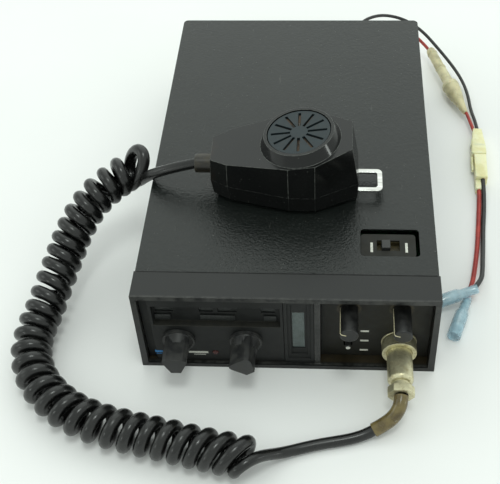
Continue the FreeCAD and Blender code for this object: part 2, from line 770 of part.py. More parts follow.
def chassis():
    """Frame of four walls with a deck that carries the circuit board."""
    outer = box((-chassis_half_width, chassis_half_width), (chassis_front_y, chassis_back_y),
                (cover_sheet + seat_gap, chassis_top))
    room = box((-chassis_half_width + chassis_wall, chassis_half_width - chassis_wall),
               (chassis_front_y + chassis_wall, chassis_back_y - chassis_wall), (0, chassis_top + 1))
    frame = outer.cut(room)
    deck = box((-chassis_half_width + chassis_wall - 0.5, chassis_half_width - chassis_wall + 0.5),
               (chassis_front_y + deck_setback, chassis_back_y - chassis_wall + 0.5),
               (deck_height, deck_height + deck_sheet))
    frame = join([frame, deck])
    front_window = box((-chassis_half_width + 4, chassis_half_width - 4),
                       (chassis_front_y - 1, chassis_front_y + chassis_wall + 1),
                       (panel_bottom, chassis_top + 1))
    frame = frame.cut(front_window)
    for y in bracket_y:
        frame = frame.cut(rod("x", bracket_hole_radius, (y, bracket_hole_height),
                              -half_width - 5, half_width + 5))
    for x, z, radius in ((antenna_x, antenna_z, antenna_neck + 0.4), (jack_x, jack_z, jack_body + 0.2),
                         (grommet_x, grommet_z, grommet_neck + 0.2)):
        frame = frame.cut(rod("y", radius, (x, z), chassis_back_y - chassis_wall - 1, back_y + 1))
    return side_holes(frame, screw_heights, screw_shank_radius + seat_gap)


def cover_screws():
    """Eight flat-headed screws, four on each side."""
    screws = []
    for side in (-1, 1):
        for z in screw_heights:
            for y in screw_y:
                face = side * cover_half_width
                head = rod("x", screw_head_radius, (y, z), face, face + side * screw_head_rise)
                shank = rod("x", screw_shank_radius, (y, z), face - side * 5.5, face + side * 0.2)
                slot = box((min(face, face + side), max(face, face + side)),
                           (y - 2.2, y + 2.2), (z - 0.35, z + 0.35))
                screws.append(join([head, shank]).cut(slot.translated(Vec(side * 0.15, 0, 0))))
    return group(screws)


def heat_sink():
    """Finned cooler on the rear wall."""
    left = sink_offset - sink_width / 2
    bottom = chassis_floor_height - 1
    base = box((left, left + sink_width), (chassis_back_y + seat_gap, chassis_back_y + seat_gap + sink_base),
               (bottom, bottom + sink_height))
    pitch = (sink_width - fin_thickness) / (fin_count - 1)
    fins = [box((left + index * pitch, left + index * pitch + fin_thickness),
                (chassis_back_y + sink_base, chassis_back_y + sink_base + fin_depth),
                (bottom, bottom + sink_height))
            for index in range(fin_count)]
    return join([base] + fins)


def antenna_socket():
    """Panel socket for the antenna plug, with its square flange."""
    face = chassis_back_y + seat_gap
    half = antenna_flange / 2
    flange = box((antenna_x - half, antenna_x + half), (face, face + 2.0),
                 (antenna_z - half, antenna_z + half))
    barrel = rod("y", antenna_radius, (antenna_x, antenna_z), face + 1, face + 2.0 + antenna_length)
    neck = rod("y", antenna_neck, (antenna_x, antenna_z), face - chassis_wall, face + 1)
    bore = rod("y", 5.2, (antenna_x, antenna_z), face + 3, face + 3 + antenna_length)
    pin = rod("y", 2.6, (antenna_x, antenna_z), face + 1, face + antenna_length)
    cup = rod("y", 1.9, (antenna_x, antenna_z), face + 4, face + 3 + antenna_length)
    return join([join([flange, barrel, neck]).cut(bore), pin]).cut(cup)


def speaker_jack():
    """Socket for an extra loudspeaker."""
    face = chassis_back_y + seat_gap
    turns = [math.radians(60 * corner) for corner in range(6)]
    nut = prism([(jack_x + 5.2 * math.cos(turn), face, jack_z + 5.2 * math.sin(turn)) for turn in turns],
                (0, 2.2, 0))
    body = rod("y", jack_body, (jack_x, jack_z), face + 3.4 - jack_length - 2, face + 3.4)
    return join([nut, body]).cut(rod("y", jack_bore, (jack_x, jack_z), face + 3.4 - jack_length, face + 4))


def power_grommet():
    """Rubber grommet that the power wires leave through."""
    face = chassis_back_y + seat_gap
    lip = rod("y", 6.0, (grommet_x, grommet_z), face, back_y + grommet_reach)
    rim = [edge for edge in lip.Edges if edge.BoundBox.YMin > back_y + grommet_reach - 0.1]
    lip = lip.makeFillet(1.2, rim)
    neck = rod("y", grommet_neck, (grommet_x, grommet_z), face - chassis_wall - 2, face + 1)
    return join([lip, neck])


def main_board():
    """Circuit board on the deck, with its larger components."""
    level = deck_height + deck_sheet + seat_gap
    start = chassis_front_y + deck_setback + 2
    end = chassis_back_y - chassis_wall - 12
    half = chassis_half_width - chassis_wall - 1.5
    return box((-half, half), (start, end), (level, level + 1.6))


def filter_cans():
    """Screening cans and tuned circuits that stand on the board."""
    level = deck_height + deck_sheet + seat_gap + 1.6 + seat_gap
    start = chassis_front_y + deck_setback + 16
    cans = []
    for row in range(3):
        for column in range(5):
            x = -44 + column * 15
            y = start + row * 26
            cans.append(box((x, x + 9), (y, y + 9), (level, level + 12)))
    cans.append(box((-50, -8), (start + 90, start + 124), (level, level + 14)))
    return group(cans)


def loudspeaker():
    """Loudspeaker frame with its cone, facing down."""
    low = cover_sheet + seat_gap
    neck = speaker_radius * 0.45
    frame = Part.makeCone(speaker_radius, neck, speaker_height, Vec(0, speaker_y, low), Vec(0, 0, 1))
    hollow = Part.makeCone(speaker_radius - 2.5, neck - 2.5, speaker_height - 3,
                           Vec(0, speaker_y, low - 0.05), Vec(0, 0, 1))
    magnet = rod("z", 11.0, (0, speaker_y), low + speaker_height - 0.5, low + speaker_height + 6)
    cone = Part.makeCone(speaker_radius - 3.2, 4.0, 9.0, Vec(0, speaker_y, low + 0.5), Vec(0, 0, 1))
    cone_hollow = Part.makeCone(speaker_radius - 4.0, 3.2, 8.6, Vec(0, speaker_y, low), Vec(0, 0, 1))
    return group([join([frame.cut(hollow), magnet]), cone.cut(cone_hollow)])


# ---------------------------------------------------------------- slide switch

def slide_switch_plate():
    """Label plate below the window in the cover, with the slot for the button."""
    top = slide_plate_top
    plate = rounded_box((slide_plate_x - slide_plate_length / 2, slide_plate_x + slide_plate_length / 2),
                        (slide_plate_y - slide_plate_width / 2, slide_plate_y + slide_plate_width / 2),
                        (top - slide_plate_sheet, top), 2.0)
    return plate.cut(box((slide_plate_x - slide_slot_length / 2, slide_plate_x + slide_slot_length / 2),
                         (slide_plate_y - slide_slot_width / 2, slide_plate_y + slide_slot_width / 2),
                         (top - 5, top + 5)))


def slide_switch_button():
    """Button that slides along the slot."""
    return box((slide_button_x - slide_button_length / 2, slide_button_x + slide_button_length / 2),
               (slide_plate_y - slide_button_width / 2, slide_plate_y + slide_button_width / 2),
               (slide_body_top - 2.2, slide_plate_top + slide_button_rise))


def slide_switch_body():
    """Switch box under the plate, with the channel the button runs in."""
    half_length = slide_slot_length / 2 + 2
    half_depth = slide_slot_width / 2 + 2
    channel = slide_button_width / 2 + 0.4
    body = box((slide_plate_x - half_length, slide_plate_x + half_length),
               (slide_plate_y - half_depth, slide_plate_y + half_depth),
               (slide_body_top - 5.5, slide_body_top))
    return body.cut(box((slide_plate_x - half_length + 1, slide_plate_x + half_length - 1),
                        (slide_plate_y - channel, slide_plate_y + channel),
                        (slide_body_top - 2.6, slide_body_top + 1)))


# ---------------------------------------------------------------- microphone

def mic_outline(height, inset, nose_inset):
    """Long eight-sided outline at a height above the cover, drawn in by an inset."""
    z = mic_base_z + height
    stations = ((-mic_tail + inset, mic_tail_half - inset * 0.6),
                (-mic_tail_shoulder + inset * 0.5, mic_shoulder_half - inset),
                (-mic_flat_front, mic_half_width - inset), (mic_flat_rear, mic_half_width - inset),
                (mic_nose - nose_inset, mic_nose_half - inset * 0.4))
    near = [(mic_x + along, mic_y - half, z) for along, half in stations]
    far = [(mic_x + along, mic_y + half, z) for along, half in reversed(stations)]
    return near + far


def mic_face_cut(drop):
    """Everything above the sloping face, lowered by a drop."""
    block = box((-200, 200), (-200, 200), (0, 200))
    block.rotate(Vec(0, 0, 0), Vec(0, 1, 0), -mic_face_slope)
    block.translate(Vec(mic_x, mic_y, mic_base_z + mic_face_height - drop))
    return block


def boot_solid(radius, start, end):
    """Cylinder on the cord's line into the microphone."""
    return rod("x", radius, (mic_y, mic_base_z + boot_height), mic_x + start, mic_x + end)


def ptt_block(length, height, outer, inner):
    """Block square to the far slanting side of the microphone."""
    side_start = Vec(mic_x - mic_tail_shoulder, mic_y + mic_shoulder_half, 0)
    side_end = Vec(mic_x - mic_flat_front, mic_y + mic_half_width, 0)
    along = (side_end - side_start).normalize()
    middle = (side_start + side_end) * 0.5
    low = mic_base_z + mic_split_height + 1.4
    block = box((-length / 2, length / 2), (-inner, outer), (low, low + height))
    block.rotate(Vec(0, 0, 0), Vec(0, 0, 1), math.degrees(math.atan2(along.y, along.x)))
    block.translate(middle)
    return block


def mic_front_shell():
    """Front half: sloping face, raised ring round the grille, opening for the talk button."""
    outer = loft([mic_outline(mic_split_height + seat_gap, 0, 0),
                  mic_outline(mic_top, mic_face_inset, mic_nose_slope)]).cut(mic_face_cut(0))
    ring = Part.makeCone(grille_ring_base, grille_ring_top, grille_ring_height + 1,
                         mic_face_centre - mic_face_normal, mic_face_normal)
    inner = loft([mic_outline(mic_split_height - 1, mic_wall, mic_wall),
                  mic_outline(mic_top, mic_face_inset + mic_wall, mic_nose_slope + mic_wall)])
    inner = inner.cut(mic_face_cut(mic_wall))
    well = Part.makeCylinder(grille_radius + 0.5, 30, mic_face_centre - mic_face_normal * 8, mic_face_normal)
    shell = join([outer, ring]).cut(inner).cut(well)
    shell = shell.cut(boot_solid(boot_radius + seat_gap, -mic_tail - 5, -mic_tail + 5))
    opening = ptt_block(ptt_length + 2 * travel_gap, ptt_height + 2 * travel_gap, 5, ptt_depth)
    return shell.cut(opening.translated(Vec(0, 0, -travel_gap)))


def mic_back_shell():
    """Back half, rounded under at the tail."""
    outer = loft([mic_outline(0, mic_bottom_inset, 1.0), mic_outline(3.0, 1.0, 0.4),
                  mic_outline(mic_split_height, 0, 0)])
    inner = loft([mic_outline(mic_wall, mic_bottom_inset + mic_wall, mic_wall + 1),
                  mic_outline(mic_split_height + 1, mic_wall, mic_wall)])
    shell = outer.cut(inner).cut(boot_solid(boot_radius + seat_gap, -mic_tail - 5, -mic_tail + 5))
    return shell.cut(box((mic_x + mic_nose - 4, mic_x + mic_nose + 4),
                         (hanger_span[0] - seat_gap, hanger_span[1] + seat_gap),
                         (hanger_base_z - seat_gap, hanger_base_z + hanger_sheet + seat_gap)))


def mic_grille():
    """Grille disc with radial slots, sunk a little below the ring."""
    top = mic_face_centre + mic_face_normal * (grille_ring_height - grille_sink)
    disc = Part.makeCylinder(grille_radius, grille_thickness, top - mic_face_normal * grille_thickness,
                             mic_face_normal)
    for index in range(grille_slot_count):
        slot = box((grille_radius * 0.28, grille_radius * 0.9),
                   (-grille_slot_width / 2, grille_slot_width / 2), (-3, 3))
        slot.rotate(Vec(0, 0, 0), Vec(0, 0, 1), 360.0 / grille_slot_count * index)
        slot.rotate(Vec(0, 0, 0), Vec(0, 1, 0), -mic_face_slope)
        disc = disc.cut(slot.translated(top))
    return disc


def mic_capsule():
    """Microphone capsule behind the grille."""
    top = mic_face_centre + mic_face_normal * (grille_ring_height - grille_sink - grille_thickness - seat_gap)
    return Part.makeCylinder(capsule_radius, capsule_height, top - mic_face_normal * capsule_height,
                             mic_face_normal)


def mic_boot():
    """Strain relief at the tail of the microphone."""
    start = -mic_tail - boot_reach + 0.5
    boot = boot_solid(boot_radius, start, start + boot_length)
    rim = [edge for edge in boot.Edges if edge.BoundBox.XMax < mic_x + start + 0.5]
    return boot.makeFillet(0.8, rim)


def mic_hanger_loop():
    """Flat steel loop on the nose."""
    end = mic_x + mic_nose + hanger_reach
    z = (hanger_base_z, hanger_base_z + hanger_sheet)
    near, far = hanger_span
    outer = rounded_box((end - hanger_length, end), (near, far), z, 3.0)
    hole = rounded_box((end - hanger_length + hanger_strip / 2, end - hanger_strip),
                       (near + hanger_strip, far - hanger_strip), (z[0] - 1, z[1] + 1), 1.6)
    return outer.cut(hole)


def ptt_button():
    """Press-to-talk button in the far side."""
    return ptt_block(ptt_length, ptt_height, ptt_proud, ptt_depth - 1.8)


# ---------------------------------------------------------------- power lead

def aimed(shape, start, end):
    """Turn a shape built along -Y from the origin so that it runs from start towards end."""
    first = Vec(*start)
    direction = (Vec(*end) - first).normalize()
    shape.Placement = FreeCAD.Placement(first, FreeCAD.Rotation(Vec(0, -1, 0), direction))
    return shape


def fuse_holder():
    """In-line fuse holder: narrow cap, wide body and a tapered end."""
    narrow = Part.makeCylinder(fuse_cap_radius, fuse_cap_length, Vec(0, 0, 0), Vec(0, -1, 0))
    wide = Part.makeCylinder(fuse_body_radius, fuse_body_length, Vec(0, -fuse_cap_length, 0), Vec(0, -1, 0))
    taper_start = fuse_cap_length + fuse_body_length
    taper = Part.makeCone(fuse_body_radius, 2.4, fuse_total - taper_start, Vec(0, -taper_start, 0),
                          Vec(0, -1, 0))
    return aimed(join([narrow, wide, taper]), red_lead_route[-1], fused_lead_route[0])


def connector_half(first):
    """One half of the two-way lead connector."""
    half = connector_height / 2
    wide = connector_width / 2
    neck = connector_neck_width / 2
    if first:
        body = join([box((-neck, neck), (-connector_neck_length - 1, 0), (-half + 1, half - 1)),
                     box((-wide, wide), (-connector_first_length, -connector_neck_length), (-half, half))])
    else:
        far_end = -connector_first_length - connector_second_length
        body = box((-wide + 0.4, wide - 0.4), (far_end, -connector_first_length - seat_gap),
                   (-half + 0.5, half - 0.5))
    return aimed(body, connector_top, connector_end)


def terminal(start, end):
    """Insulated bullet terminal: narrow crimp end, wide sleeve and open mouth."""
    crimp = Part.makeCylinder(terminal_crimp_radius, terminal_crimp_length, Vec(0, 0, 0), Vec(0, -1, 0))
    shoulder = Part.makeCone(terminal_crimp_radius, terminal_radius, 1.6,
                             Vec(0, -terminal_crimp_length, 0), Vec(0, -1, 0))
    sleeve = Part.makeCylinder(terminal_radius, terminal_length - terminal_crimp_length - 1.6,
                               Vec(0, -terminal_crimp_length - 1.6, 0), Vec(0, -1, 0))
    mouth = Part.makeCylinder(terminal_bore, terminal_bore_depth + 1, Vec(0, -terminal_length - 1, 0),
                              Vec(0, 1, 0))
    return aimed(join([crimp, shoulder, sleeve]).cut(mouth), start, end)


def bullet_terminals():
    """The two bullet terminals at the end of the power lead."""
    return group([terminal(black_tail_route[-1], black_terminal_aim),
                  terminal(red_tail_route[-1], red_terminal_aim)])


# ---------------------------------------------------------------- build

nodes = {
    "front_bezel": front_bezel(),
    "selector_panel": selector_panel(),
    "window_lenses": window_lenses(),
    "strip_label_bars": strip_label_bars(),
    "transmit_lamp": transmit_lamp(),
    "meter_frame": meter_frame(),
    "meter_glass": meter_glass(),
    "meter_movement": meter_movement(),
    "meter_pointer": meter_pointer(),
    "control_panel": control_panel(),
    "selector_knob_left": selector_knob(left_selector_x, left_selector_turn),
    "selector_knob_right": selector_knob(right_selector_x, right_selector_turn),
    "selector_shaft_left": selector_shaft(left_selector_x),
    "selector_shaft_right": selector_shaft(right_selector_x),
    "rotary_switches": rotary_switches(),
    "volume_knob": control_knob(volume_x),
    "squelch_knob": control_knob(squelch_x),
    "volume_shaft": control_shaft(volume_x),
    "squelch_shaft": control_shaft(squelch_x),
    "control_pots": control_pots(),
    "mode_lever": mode_lever(),
    "mode_switch_body": mode_switch_body(),
    "mic_socket": mic_socket(),
    "plug_ring": plug_ring(),
    "plug_barrel": plug_barrel(),
    "plug_clamp": plug_clamp(),
    "top_cover": top_cover(),
    "bottom_cover": bottom_cover(),
    "chassis": chassis(),
    "cover_screws": cover_screws(),
    "heat_sink": heat_sink(),
    "antenna_socket": antenna_socket(),
    "speaker_jack": speaker_jack(),
    "power_grommet": power_grommet(),
    "main_board": main_board(),
    "filter_cans": filter_cans(),
    "loudspeaker": loudspeaker(),
    "slide_switch_plate": slide_switch_plate(),
    "slide_switch_button": slide_switch_button(),
    "slide_switch_body": slide_switch_body(),
    "mic_front_shell": mic_front_shell(),
    "mic_back_shell": mic_back_shell(),
    "mic_grille": mic_grille(),
    "mic_capsule": mic_capsule(),
    "mic_boot": mic_boot(),
    "mic_hanger_loop": mic_hanger_loop(),
    "ptt_button": ptt_button(),
    "cord_mic_end": cord("cord_mic_end", mic_end_route, mic_cord_diameter),
    "cord_coil": cord("cord_coil", coil_route, coil_diameter),
    "cord_plug_end": cord("cord_plug_end", plug_end_route, mic_cord_diameter),
    "cord_sleeve": cord("cord_sleeve", sleeve_route, sleeve_diameter),
    "power_lead_black": cord("power_lead_black", black_lead_route, lead_diameter),
    "power_lead_red": cord("power_lead_red", red_lead_route, lead_diameter),
    "power_lead_fused": cord("power_lead_fused", fused_lead_route, lead_diameter),
    "power_tail_black": cord("power_tail_black", black_tail_route, tail_diameter),
    "power_tail_red": cord("power_tail_red", red_tail_route, tail_diameter),
    "fuse_holder": fuse_holder(),
    "connector_upper": connector_half(True),
    "connector_lower": connector_half(False),
    "bullet_terminals": bullet_terminals(),
}

os.makedirs("parts", exist_ok=True)
for name, shape in nodes.items():
    if not shape.isValid():
        print("not valid:", name)
    shape.exportStep(os.path.join("parts", name + ".step"))
print(len(nodes), "nodes")
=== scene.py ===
"""Two way radio with a hand microphone on a curly cord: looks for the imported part, in metres."""
import json
import math

import bmesh
import bpy
from mathutils import Matrix, Vector

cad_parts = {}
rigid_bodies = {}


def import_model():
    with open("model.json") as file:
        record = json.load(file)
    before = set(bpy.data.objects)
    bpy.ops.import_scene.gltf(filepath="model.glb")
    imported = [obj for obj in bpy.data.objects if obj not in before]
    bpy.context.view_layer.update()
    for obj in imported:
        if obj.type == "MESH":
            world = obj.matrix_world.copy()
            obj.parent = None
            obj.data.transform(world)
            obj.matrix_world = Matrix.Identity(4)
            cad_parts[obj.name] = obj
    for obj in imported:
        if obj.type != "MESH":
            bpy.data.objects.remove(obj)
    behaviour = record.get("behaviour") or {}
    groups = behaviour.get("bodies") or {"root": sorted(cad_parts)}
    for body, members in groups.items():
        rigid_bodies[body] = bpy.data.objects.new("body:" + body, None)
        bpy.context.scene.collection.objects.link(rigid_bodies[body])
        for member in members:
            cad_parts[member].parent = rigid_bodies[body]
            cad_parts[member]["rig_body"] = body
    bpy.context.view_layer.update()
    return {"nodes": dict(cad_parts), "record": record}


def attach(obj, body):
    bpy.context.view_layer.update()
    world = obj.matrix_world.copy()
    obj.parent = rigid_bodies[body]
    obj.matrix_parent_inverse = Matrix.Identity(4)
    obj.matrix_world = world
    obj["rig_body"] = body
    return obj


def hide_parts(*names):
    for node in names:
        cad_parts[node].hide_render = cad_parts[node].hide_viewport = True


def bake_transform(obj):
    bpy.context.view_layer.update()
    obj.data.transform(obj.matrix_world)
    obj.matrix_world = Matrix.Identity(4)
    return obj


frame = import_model()
MM = 0.001

# Sizes shared with the part, in millimetres
front_y = -118.0
cover_top = 57.7
slide_plate_top = 56.9
cover_front_y = front_y + 16.8
selector_face_y = front_y + 1.3
strip_bottom = 33.0
strip_right = -2.8
control_face_y = front_y + 6.5
volume_x = 32.4
squelch_x = 59.2
control_knob_z = 43.2
control_knob_radius = 4.7
control_nose_y = control_face_y - 17.6
control_line_turn = 160.0
lever_tip_y = control_face_y - 5.0
lever_z = 16.0
mic_centre = Vector((6.0, -37.7, 58.0))
mic_face_slope = math.radians(7.9)
mic_face_height = 33.7
felt_radius = 16.3
felt_height = 3.55
felt_thickness = 0.45
coil_turn_radius = 7.75
coil_wire = 6.9
lead_wire = 5.8
sleeve_width = 7.4
supply_wire = 2.2
tail_wire = 2.8
turn_points = 16

# Distance along the coil of each turn, taken where the turn faces up and forward, in millimetres
turn_places = [1.5, 10.3, 18.0, 26.9, 35.2, 43.4, 51.4, 58.9, 66.6, 74.5, 83.2, 92.2, 100.2, 107.9, 116.0, 124.9,
               133.4, 142.2, 151.4, 160.8, 169.8, 179.1, 188.5, 198.0, 207.1, 215.8, 224.8, 233.8, 242.4, 250.9,
               260.0, 267.9]
# How far the loops lean along the coil: turn, lean of the side edge, lean of the upper edge
loop_leans = [(0.25, -6.5, -7.0), (0.75, -5.0, -7.5), (1.0, -5.0, -8.5), (1.25, -3.0, -6.5),
              (1.5, -1.5, -4.5), (2.0, 0.0, -3.0), (3.0, 0.5, -1.7), (4.0, 0.5, -0.9), (5.0, 0.0, -0.4),
              (7.0, -0.5, 0.0), (12.0, -0.3, 0.0), (14.0, 1.2, 0.0), (16.0, 1.2, 0.0), (18.0, 0.0, 0.0),
              (20.0, -0.6, 0.0), (27.0, -0.6, 0.0), (29.0, -1.5, 0.0), (30.0, -2.8, 0.0), (31.0, -4.0, 0.0),
              (32.0, -4.2, 0.0)]
coil_first_turn = 0.25
coil_last_turn = 31.83
# Point that each turn faces where it is counted
facing_point = Vector((23.8, -408.6, 426.5))

# Routes shared with the part, in millimetres
mic_end_route = [(-51.0, -37.7, 74.3), (-61.0, -37.4, 71.2), (-70.0, -36.7, 67.4), (-77.3, -35.4, 63.2),
                 (-81.4, -32.2, 58.4), (-82.4, -28.0, 54.6)]
coil_route = [(-89.4, -23.7, 57.0), (-104.9, -31.5, 50.5), (-115.9, -41.8, 43.0), (-122.7, -53.1, 35.0),
              (-126.9, -65.1, 28.0), (-131.0, -78.8, 21.5), (-134.5, -94.4, 16.0), (-138.2, -108.4, 12.8),
              (-137.4, -123.6, 11.4), (-129.3, -139.9, 11.2), (-114.8, -153.4, 11.2), (-97.6, -162.0, 11.2),
              (-77.4, -167.2, 11.2), (-58.2, -171.1, 11.2), (-37.7, -175.9, 11.2), (-20.1, -179.0, 11.2)]
plug_end_route = [(-20.6, -186.9, 13.4), (-15.6, -183.6, 15.0), (-10.6, -179.4, 12.6), (-6.0, -175.9, 8.4),
                  (-1.4, -173.3, 5.2), (4.8, -170.6, 3.4), (12.0, -168.2, 3.1), (20.0, -166.0, 3.0),
                  (32.0, -163.6, 3.0), (40.0, -161.1, 3.3)]
sleeve_route = [(45.4, -158.9, 5.0), (51.4, -156.4, 7.4), (56.2, -153.6, 11.0), (58.9, -149.6, 14.9),
                (59.2, -145.4, 15.9)]
black_lead_route = [(33.0, 122.0, 37.0), (38.0, 140.0, 39.0), (53.0, 155.0, 37.0), (70.0, 158.0, 32.0),
                    (84.0, 152.5, 26.0), (96.0, 141.5, 17.8), (106.5, 130.0, 10.5), (112.6, 118.0, 6.8),
                    (115.2, 104.0, 5.6), (115.6, 90.0, 5.2), (117.9, 77.0, 4.9), (118.6, 66.0, 4.8)]
red_lead_route = [(29.0, 122.0, 37.0), (32.5, 139.0, 35.5), (45.0, 153.5, 31.0), (61.0, 161.5, 25.5),
                  (77.5, 160.5, 18.5), (91.5, 148.5, 11.0), (100.8, 120.2, 9.2), (110.0, 92.0, 7.5),
                  (112.9, 82.6, 6.4), (116.4, 66.0, 4.8)]
black_tail_route = [(117.2, 24.0, 6.6), (117.2, 14.4, 4.8), (116.7, 6.2, 3.4), (116.0, -2.8, 2.0),
                    (114.3, -15.8, 1.6), (112.9, -28.7, 2.4), (111.2, -42.4, 4.6), (109.7, -53.1, 7.2),
                    (107.8, -64.0, 9.8), (102.6, -70.6, 10.6)]
red_tail_route = [(114.6, 18.0, 3.6), (114.4, 12.0, 3.6), (113.7, 4.3, 2.8), (113.0, -2.6, 1.8), (111.4, -15.8, 1.6),
                  (109.9, -28.0, 1.6), (108.0, -39.9, 1.6), (106.0, -50.3, 1.8), (103.5, -61.5, 2.6),
                  (99.0, -73.0, 3.6)]
# Ends of the fittings on the power lead: crimp and mouth, cap and tip, top of the connector
black_terminal_ends = ((104.8, -70.6, 10.9), (80.9, -77.8, 5.9))
red_terminal_ends = ((99.9, -72.0, 3.9), (90.0, -99.2, 4.2))
fuse_ends = ((91.5, 148.5, 11.0), (111.6, 84.5, 6.9))
connector_start = (117.9, 68.2, 4.8)
connector_turn = -2.69


# ---------------------------------------------------------------- finishes

class Wire:
    """An output socket that takes part in arithmetic."""

    def __init__(self, finish, socket):
        self.finish = finish
        self.socket = socket

    def _with(self, operation, *values):
        return self.finish.node("ShaderNodeMath", {"operation": operation}, dict(enumerate(values)))

    def __add__(self, other):
        return self._with("ADD", self, other)

    def __radd__(self, other):
        return self._with("ADD", other, self)

    def __sub__(self, other):
        return self._with("SUBTRACT", self, other)

    def __rsub__(self, other):
        return self._with("SUBTRACT", other, self)

    def __mul__(self, other):
        return self._with("MULTIPLY", self, other)

    def __rmul__(self, other):
        return self._with("MULTIPLY", other, self)

    def __abs__(self):
        return self._with("ABSOLUTE", self)

    def __lt__(self, other):
        return self._with("LESS_THAN", self, other)

    def larger(self, other):
        return self._with("MAXIMUM", self, other)


class Finish:
    """One procedural material."""

    def __init__(self, name):
        self.material = bpy.data.materials.new(name)
        self.material.use_nodes = True
        self.tree = self.material.node_tree
        self.shader = self.tree.nodes["Principled BSDF"]
        self.place = None

    def node(self, kind, settings=None, inputs=None, output=0):
        made = self.tree.nodes.new(kind)
        for key, value in (settings or {}).items():
            setattr(made, key, value)
        for key, value in (inputs or {}).items():
            self.feed(made.inputs[key], value)
        return Wire(self, made.outputs[output])

    def feed(self, socket, value):
        if isinstance(value, Wire):
            self.tree.links.new(value.socket, socket)
        elif isinstance(value, tuple) and len(value) == 3 and socket.type == "RGBA":
            socket.default_value = (*value, 1.0)
        else:
            socket.default_value = value

    def coordinates(self):
        """Object coordinates in millimetres."""
        if self.place is None:
            metres = self.node("ShaderNodeTexCoord", output="Object")
            self.place = self.node("ShaderNodeVectorMath", {"operation": "SCALE"}, {0: metres, "Scale": 1000.0})
        return self.place

    def along(self, axis):
        """One coordinate in millimetres."""
        return self.node("ShaderNodeSeparateXYZ", inputs={0: self.coordinates()}, output=axis)

    def cloud(self, size, detail=3.0, roughness=0.55, stretch=(1.0, 1.0, 1.0), turn=(0.0, 0.0, 0.0)):
        """Noise whose blotches are about size millimetres."""
        place = self.node("ShaderNodeMapping", inputs={0: self.coordinates(), "Scale": stretch, "Rotation": turn})
        return self.node("ShaderNodeTexNoise", inputs={"Vector": place, "Scale": 1.0 / size, "Detail": detail,
                                                       "Roughness": roughness})

    def between(self, value, low, high, start=0.0, end=1.0):
        """Value moved from one span to another, and held inside it."""
        return self.node("ShaderNodeMapRange", {"interpolation_type": "SMOOTHSTEP"},
                         {0: value, 1: low, 2: high, 3: start, 4: end})

    def blend(self, amount, first, second):
        """Colour between two colours."""
        return self.node("ShaderNodeMix", {"data_type": "RGBA"}, {0: amount, 6: first, 7: second}, output=2)

    def bump(self, height, distance, strength=1.0, under=None):
        """Surface normal from a height between nothing and one, and a depth in millimetres."""
        inputs = {"Height": height, "Distance": distance * MM, "Strength": strength}
        if under is not None:
            inputs["Normal"] = under
        return self.node("ShaderNodeBump", inputs=inputs)

    def edge_wear_and_sheen(self, size=3.0, low=0.4, high=0.62):
        """One in patches on the rounded edges, nothing elsewhere: rubbed wear, and on the microphone also painted
        highlight.
        """
        edge = self.node("ShaderNodeAttribute", {"attribute_name": "wear_and_sheen_edge"}, output="Fac")
        return edge * self.between(self.cloud(size, 5.0, 0.7), low, high)

    def surface(self, **sockets):
        for key, value in sockets.items():
            self.feed(self.shader.inputs[key.replace("_", " ")], value)
        return self.material


def specks(finish, size, share, detail=1.0):
    """Small scattered spots that cover a share of the surface."""
    return finish.between(finish.cloud(size, detail), 0.5 + 0.28 * (1 - share), 0.56 + 0.28 * (1 - share))


def cover_paint():
    """Dark grey crinkle paint, dusty and lightly scratched."""
    f = Finish("cover_paint")
    grain = f.cloud(1.1, 3.0)
    pits = f.cloud(2.6, 2.0)
    smudge = f.cloud(38.0, 6.0, 0.62)
    dust = specks(f, 1.0, 0.12)
    crumbs = specks(f, 2.4, -0.05)
    scratch = f.between(f.cloud(2.2, 3.0, 0.55, (1.0, 0.12, 1.0), (0, 0, 0.5)), 0.7, 0.76)
    colour = f.blend(f.between(smudge, 0.35, 0.68), (0.0052, 0.0068, 0.0062), (0.0085, 0.0105, 0.0095))
    colour = f.blend(f.between(grain, 0.3, 0.75, 0.0, 0.45), colour, (0.015, 0.017, 0.016))
    colour = f.blend(f.edge_wear_and_sheen(5.0) * 0.5, colour, (0.07, 0.072, 0.066))
    colour = f.blend(dust * 0.35 + crumbs * 0.3, colour, (0.2, 0.2, 0.18))
    colour = f.blend(scratch * 0.1, colour, (0.2, 0.2, 0.18))
    height = grain + pits * 0.4
    return f.surface(Base_Color=colour, Roughness=f.between(smudge, 0.3, 0.75, 0.15, 0.2) + dust * 0.2,
                     Specular_IOR_Level=0.42, Normal=f.bump(height, 0.3, 1.0))


def bezel_plastic():
    """Black moulding with a fine grain; the front edges are rubbed paler."""
    f = Finish("bezel_plastic")
    grain = f.cloud(0.45, 2.0)
    smudge = f.cloud(22.0, 5.0, 0.6)
    depth = f.along(1) - front_y
    height = f.along(2)
    edge = (1.0 - f.between(abs(depth - 0.3), 0.0, 1.3)) * f.between(f.cloud(4.0, 5.0, 0.7), 0.35, 0.6)
    rub = edge.larger(f.edge_wear_and_sheen(6.0))
    dust = specks(f, 0.8, 0.12)
    colour = f.blend(f.between(smudge, 0.35, 0.7), (0.0052, 0.0058, 0.0057), (0.0062, 0.007, 0.0068))
    colour = f.blend(dust * 0.16, colour, (0.16, 0.16, 0.14))
    colour = f.blend(rub * 0.4, colour, (0.085, 0.085, 0.078))
    floor_dust = (1.0 - f.between(height, 2.2, 3.4)) * f.between(depth, 0.8, 2.5)
    colour = f.blend(floor_dust * f.between(f.cloud(3.0, 4.0), 0.2, 0.6, 0.5, 0.95), colour, (0.03, 0.022, 0.01))
    return f.surface(Base_Color=colour, Roughness=f.between(smudge, 0.3, 0.7, 0.31, 0.33) + rub * 0.1,
                     Specular_IOR_Level=0.42, Normal=f.bump(grain, 0.05, 0.6))


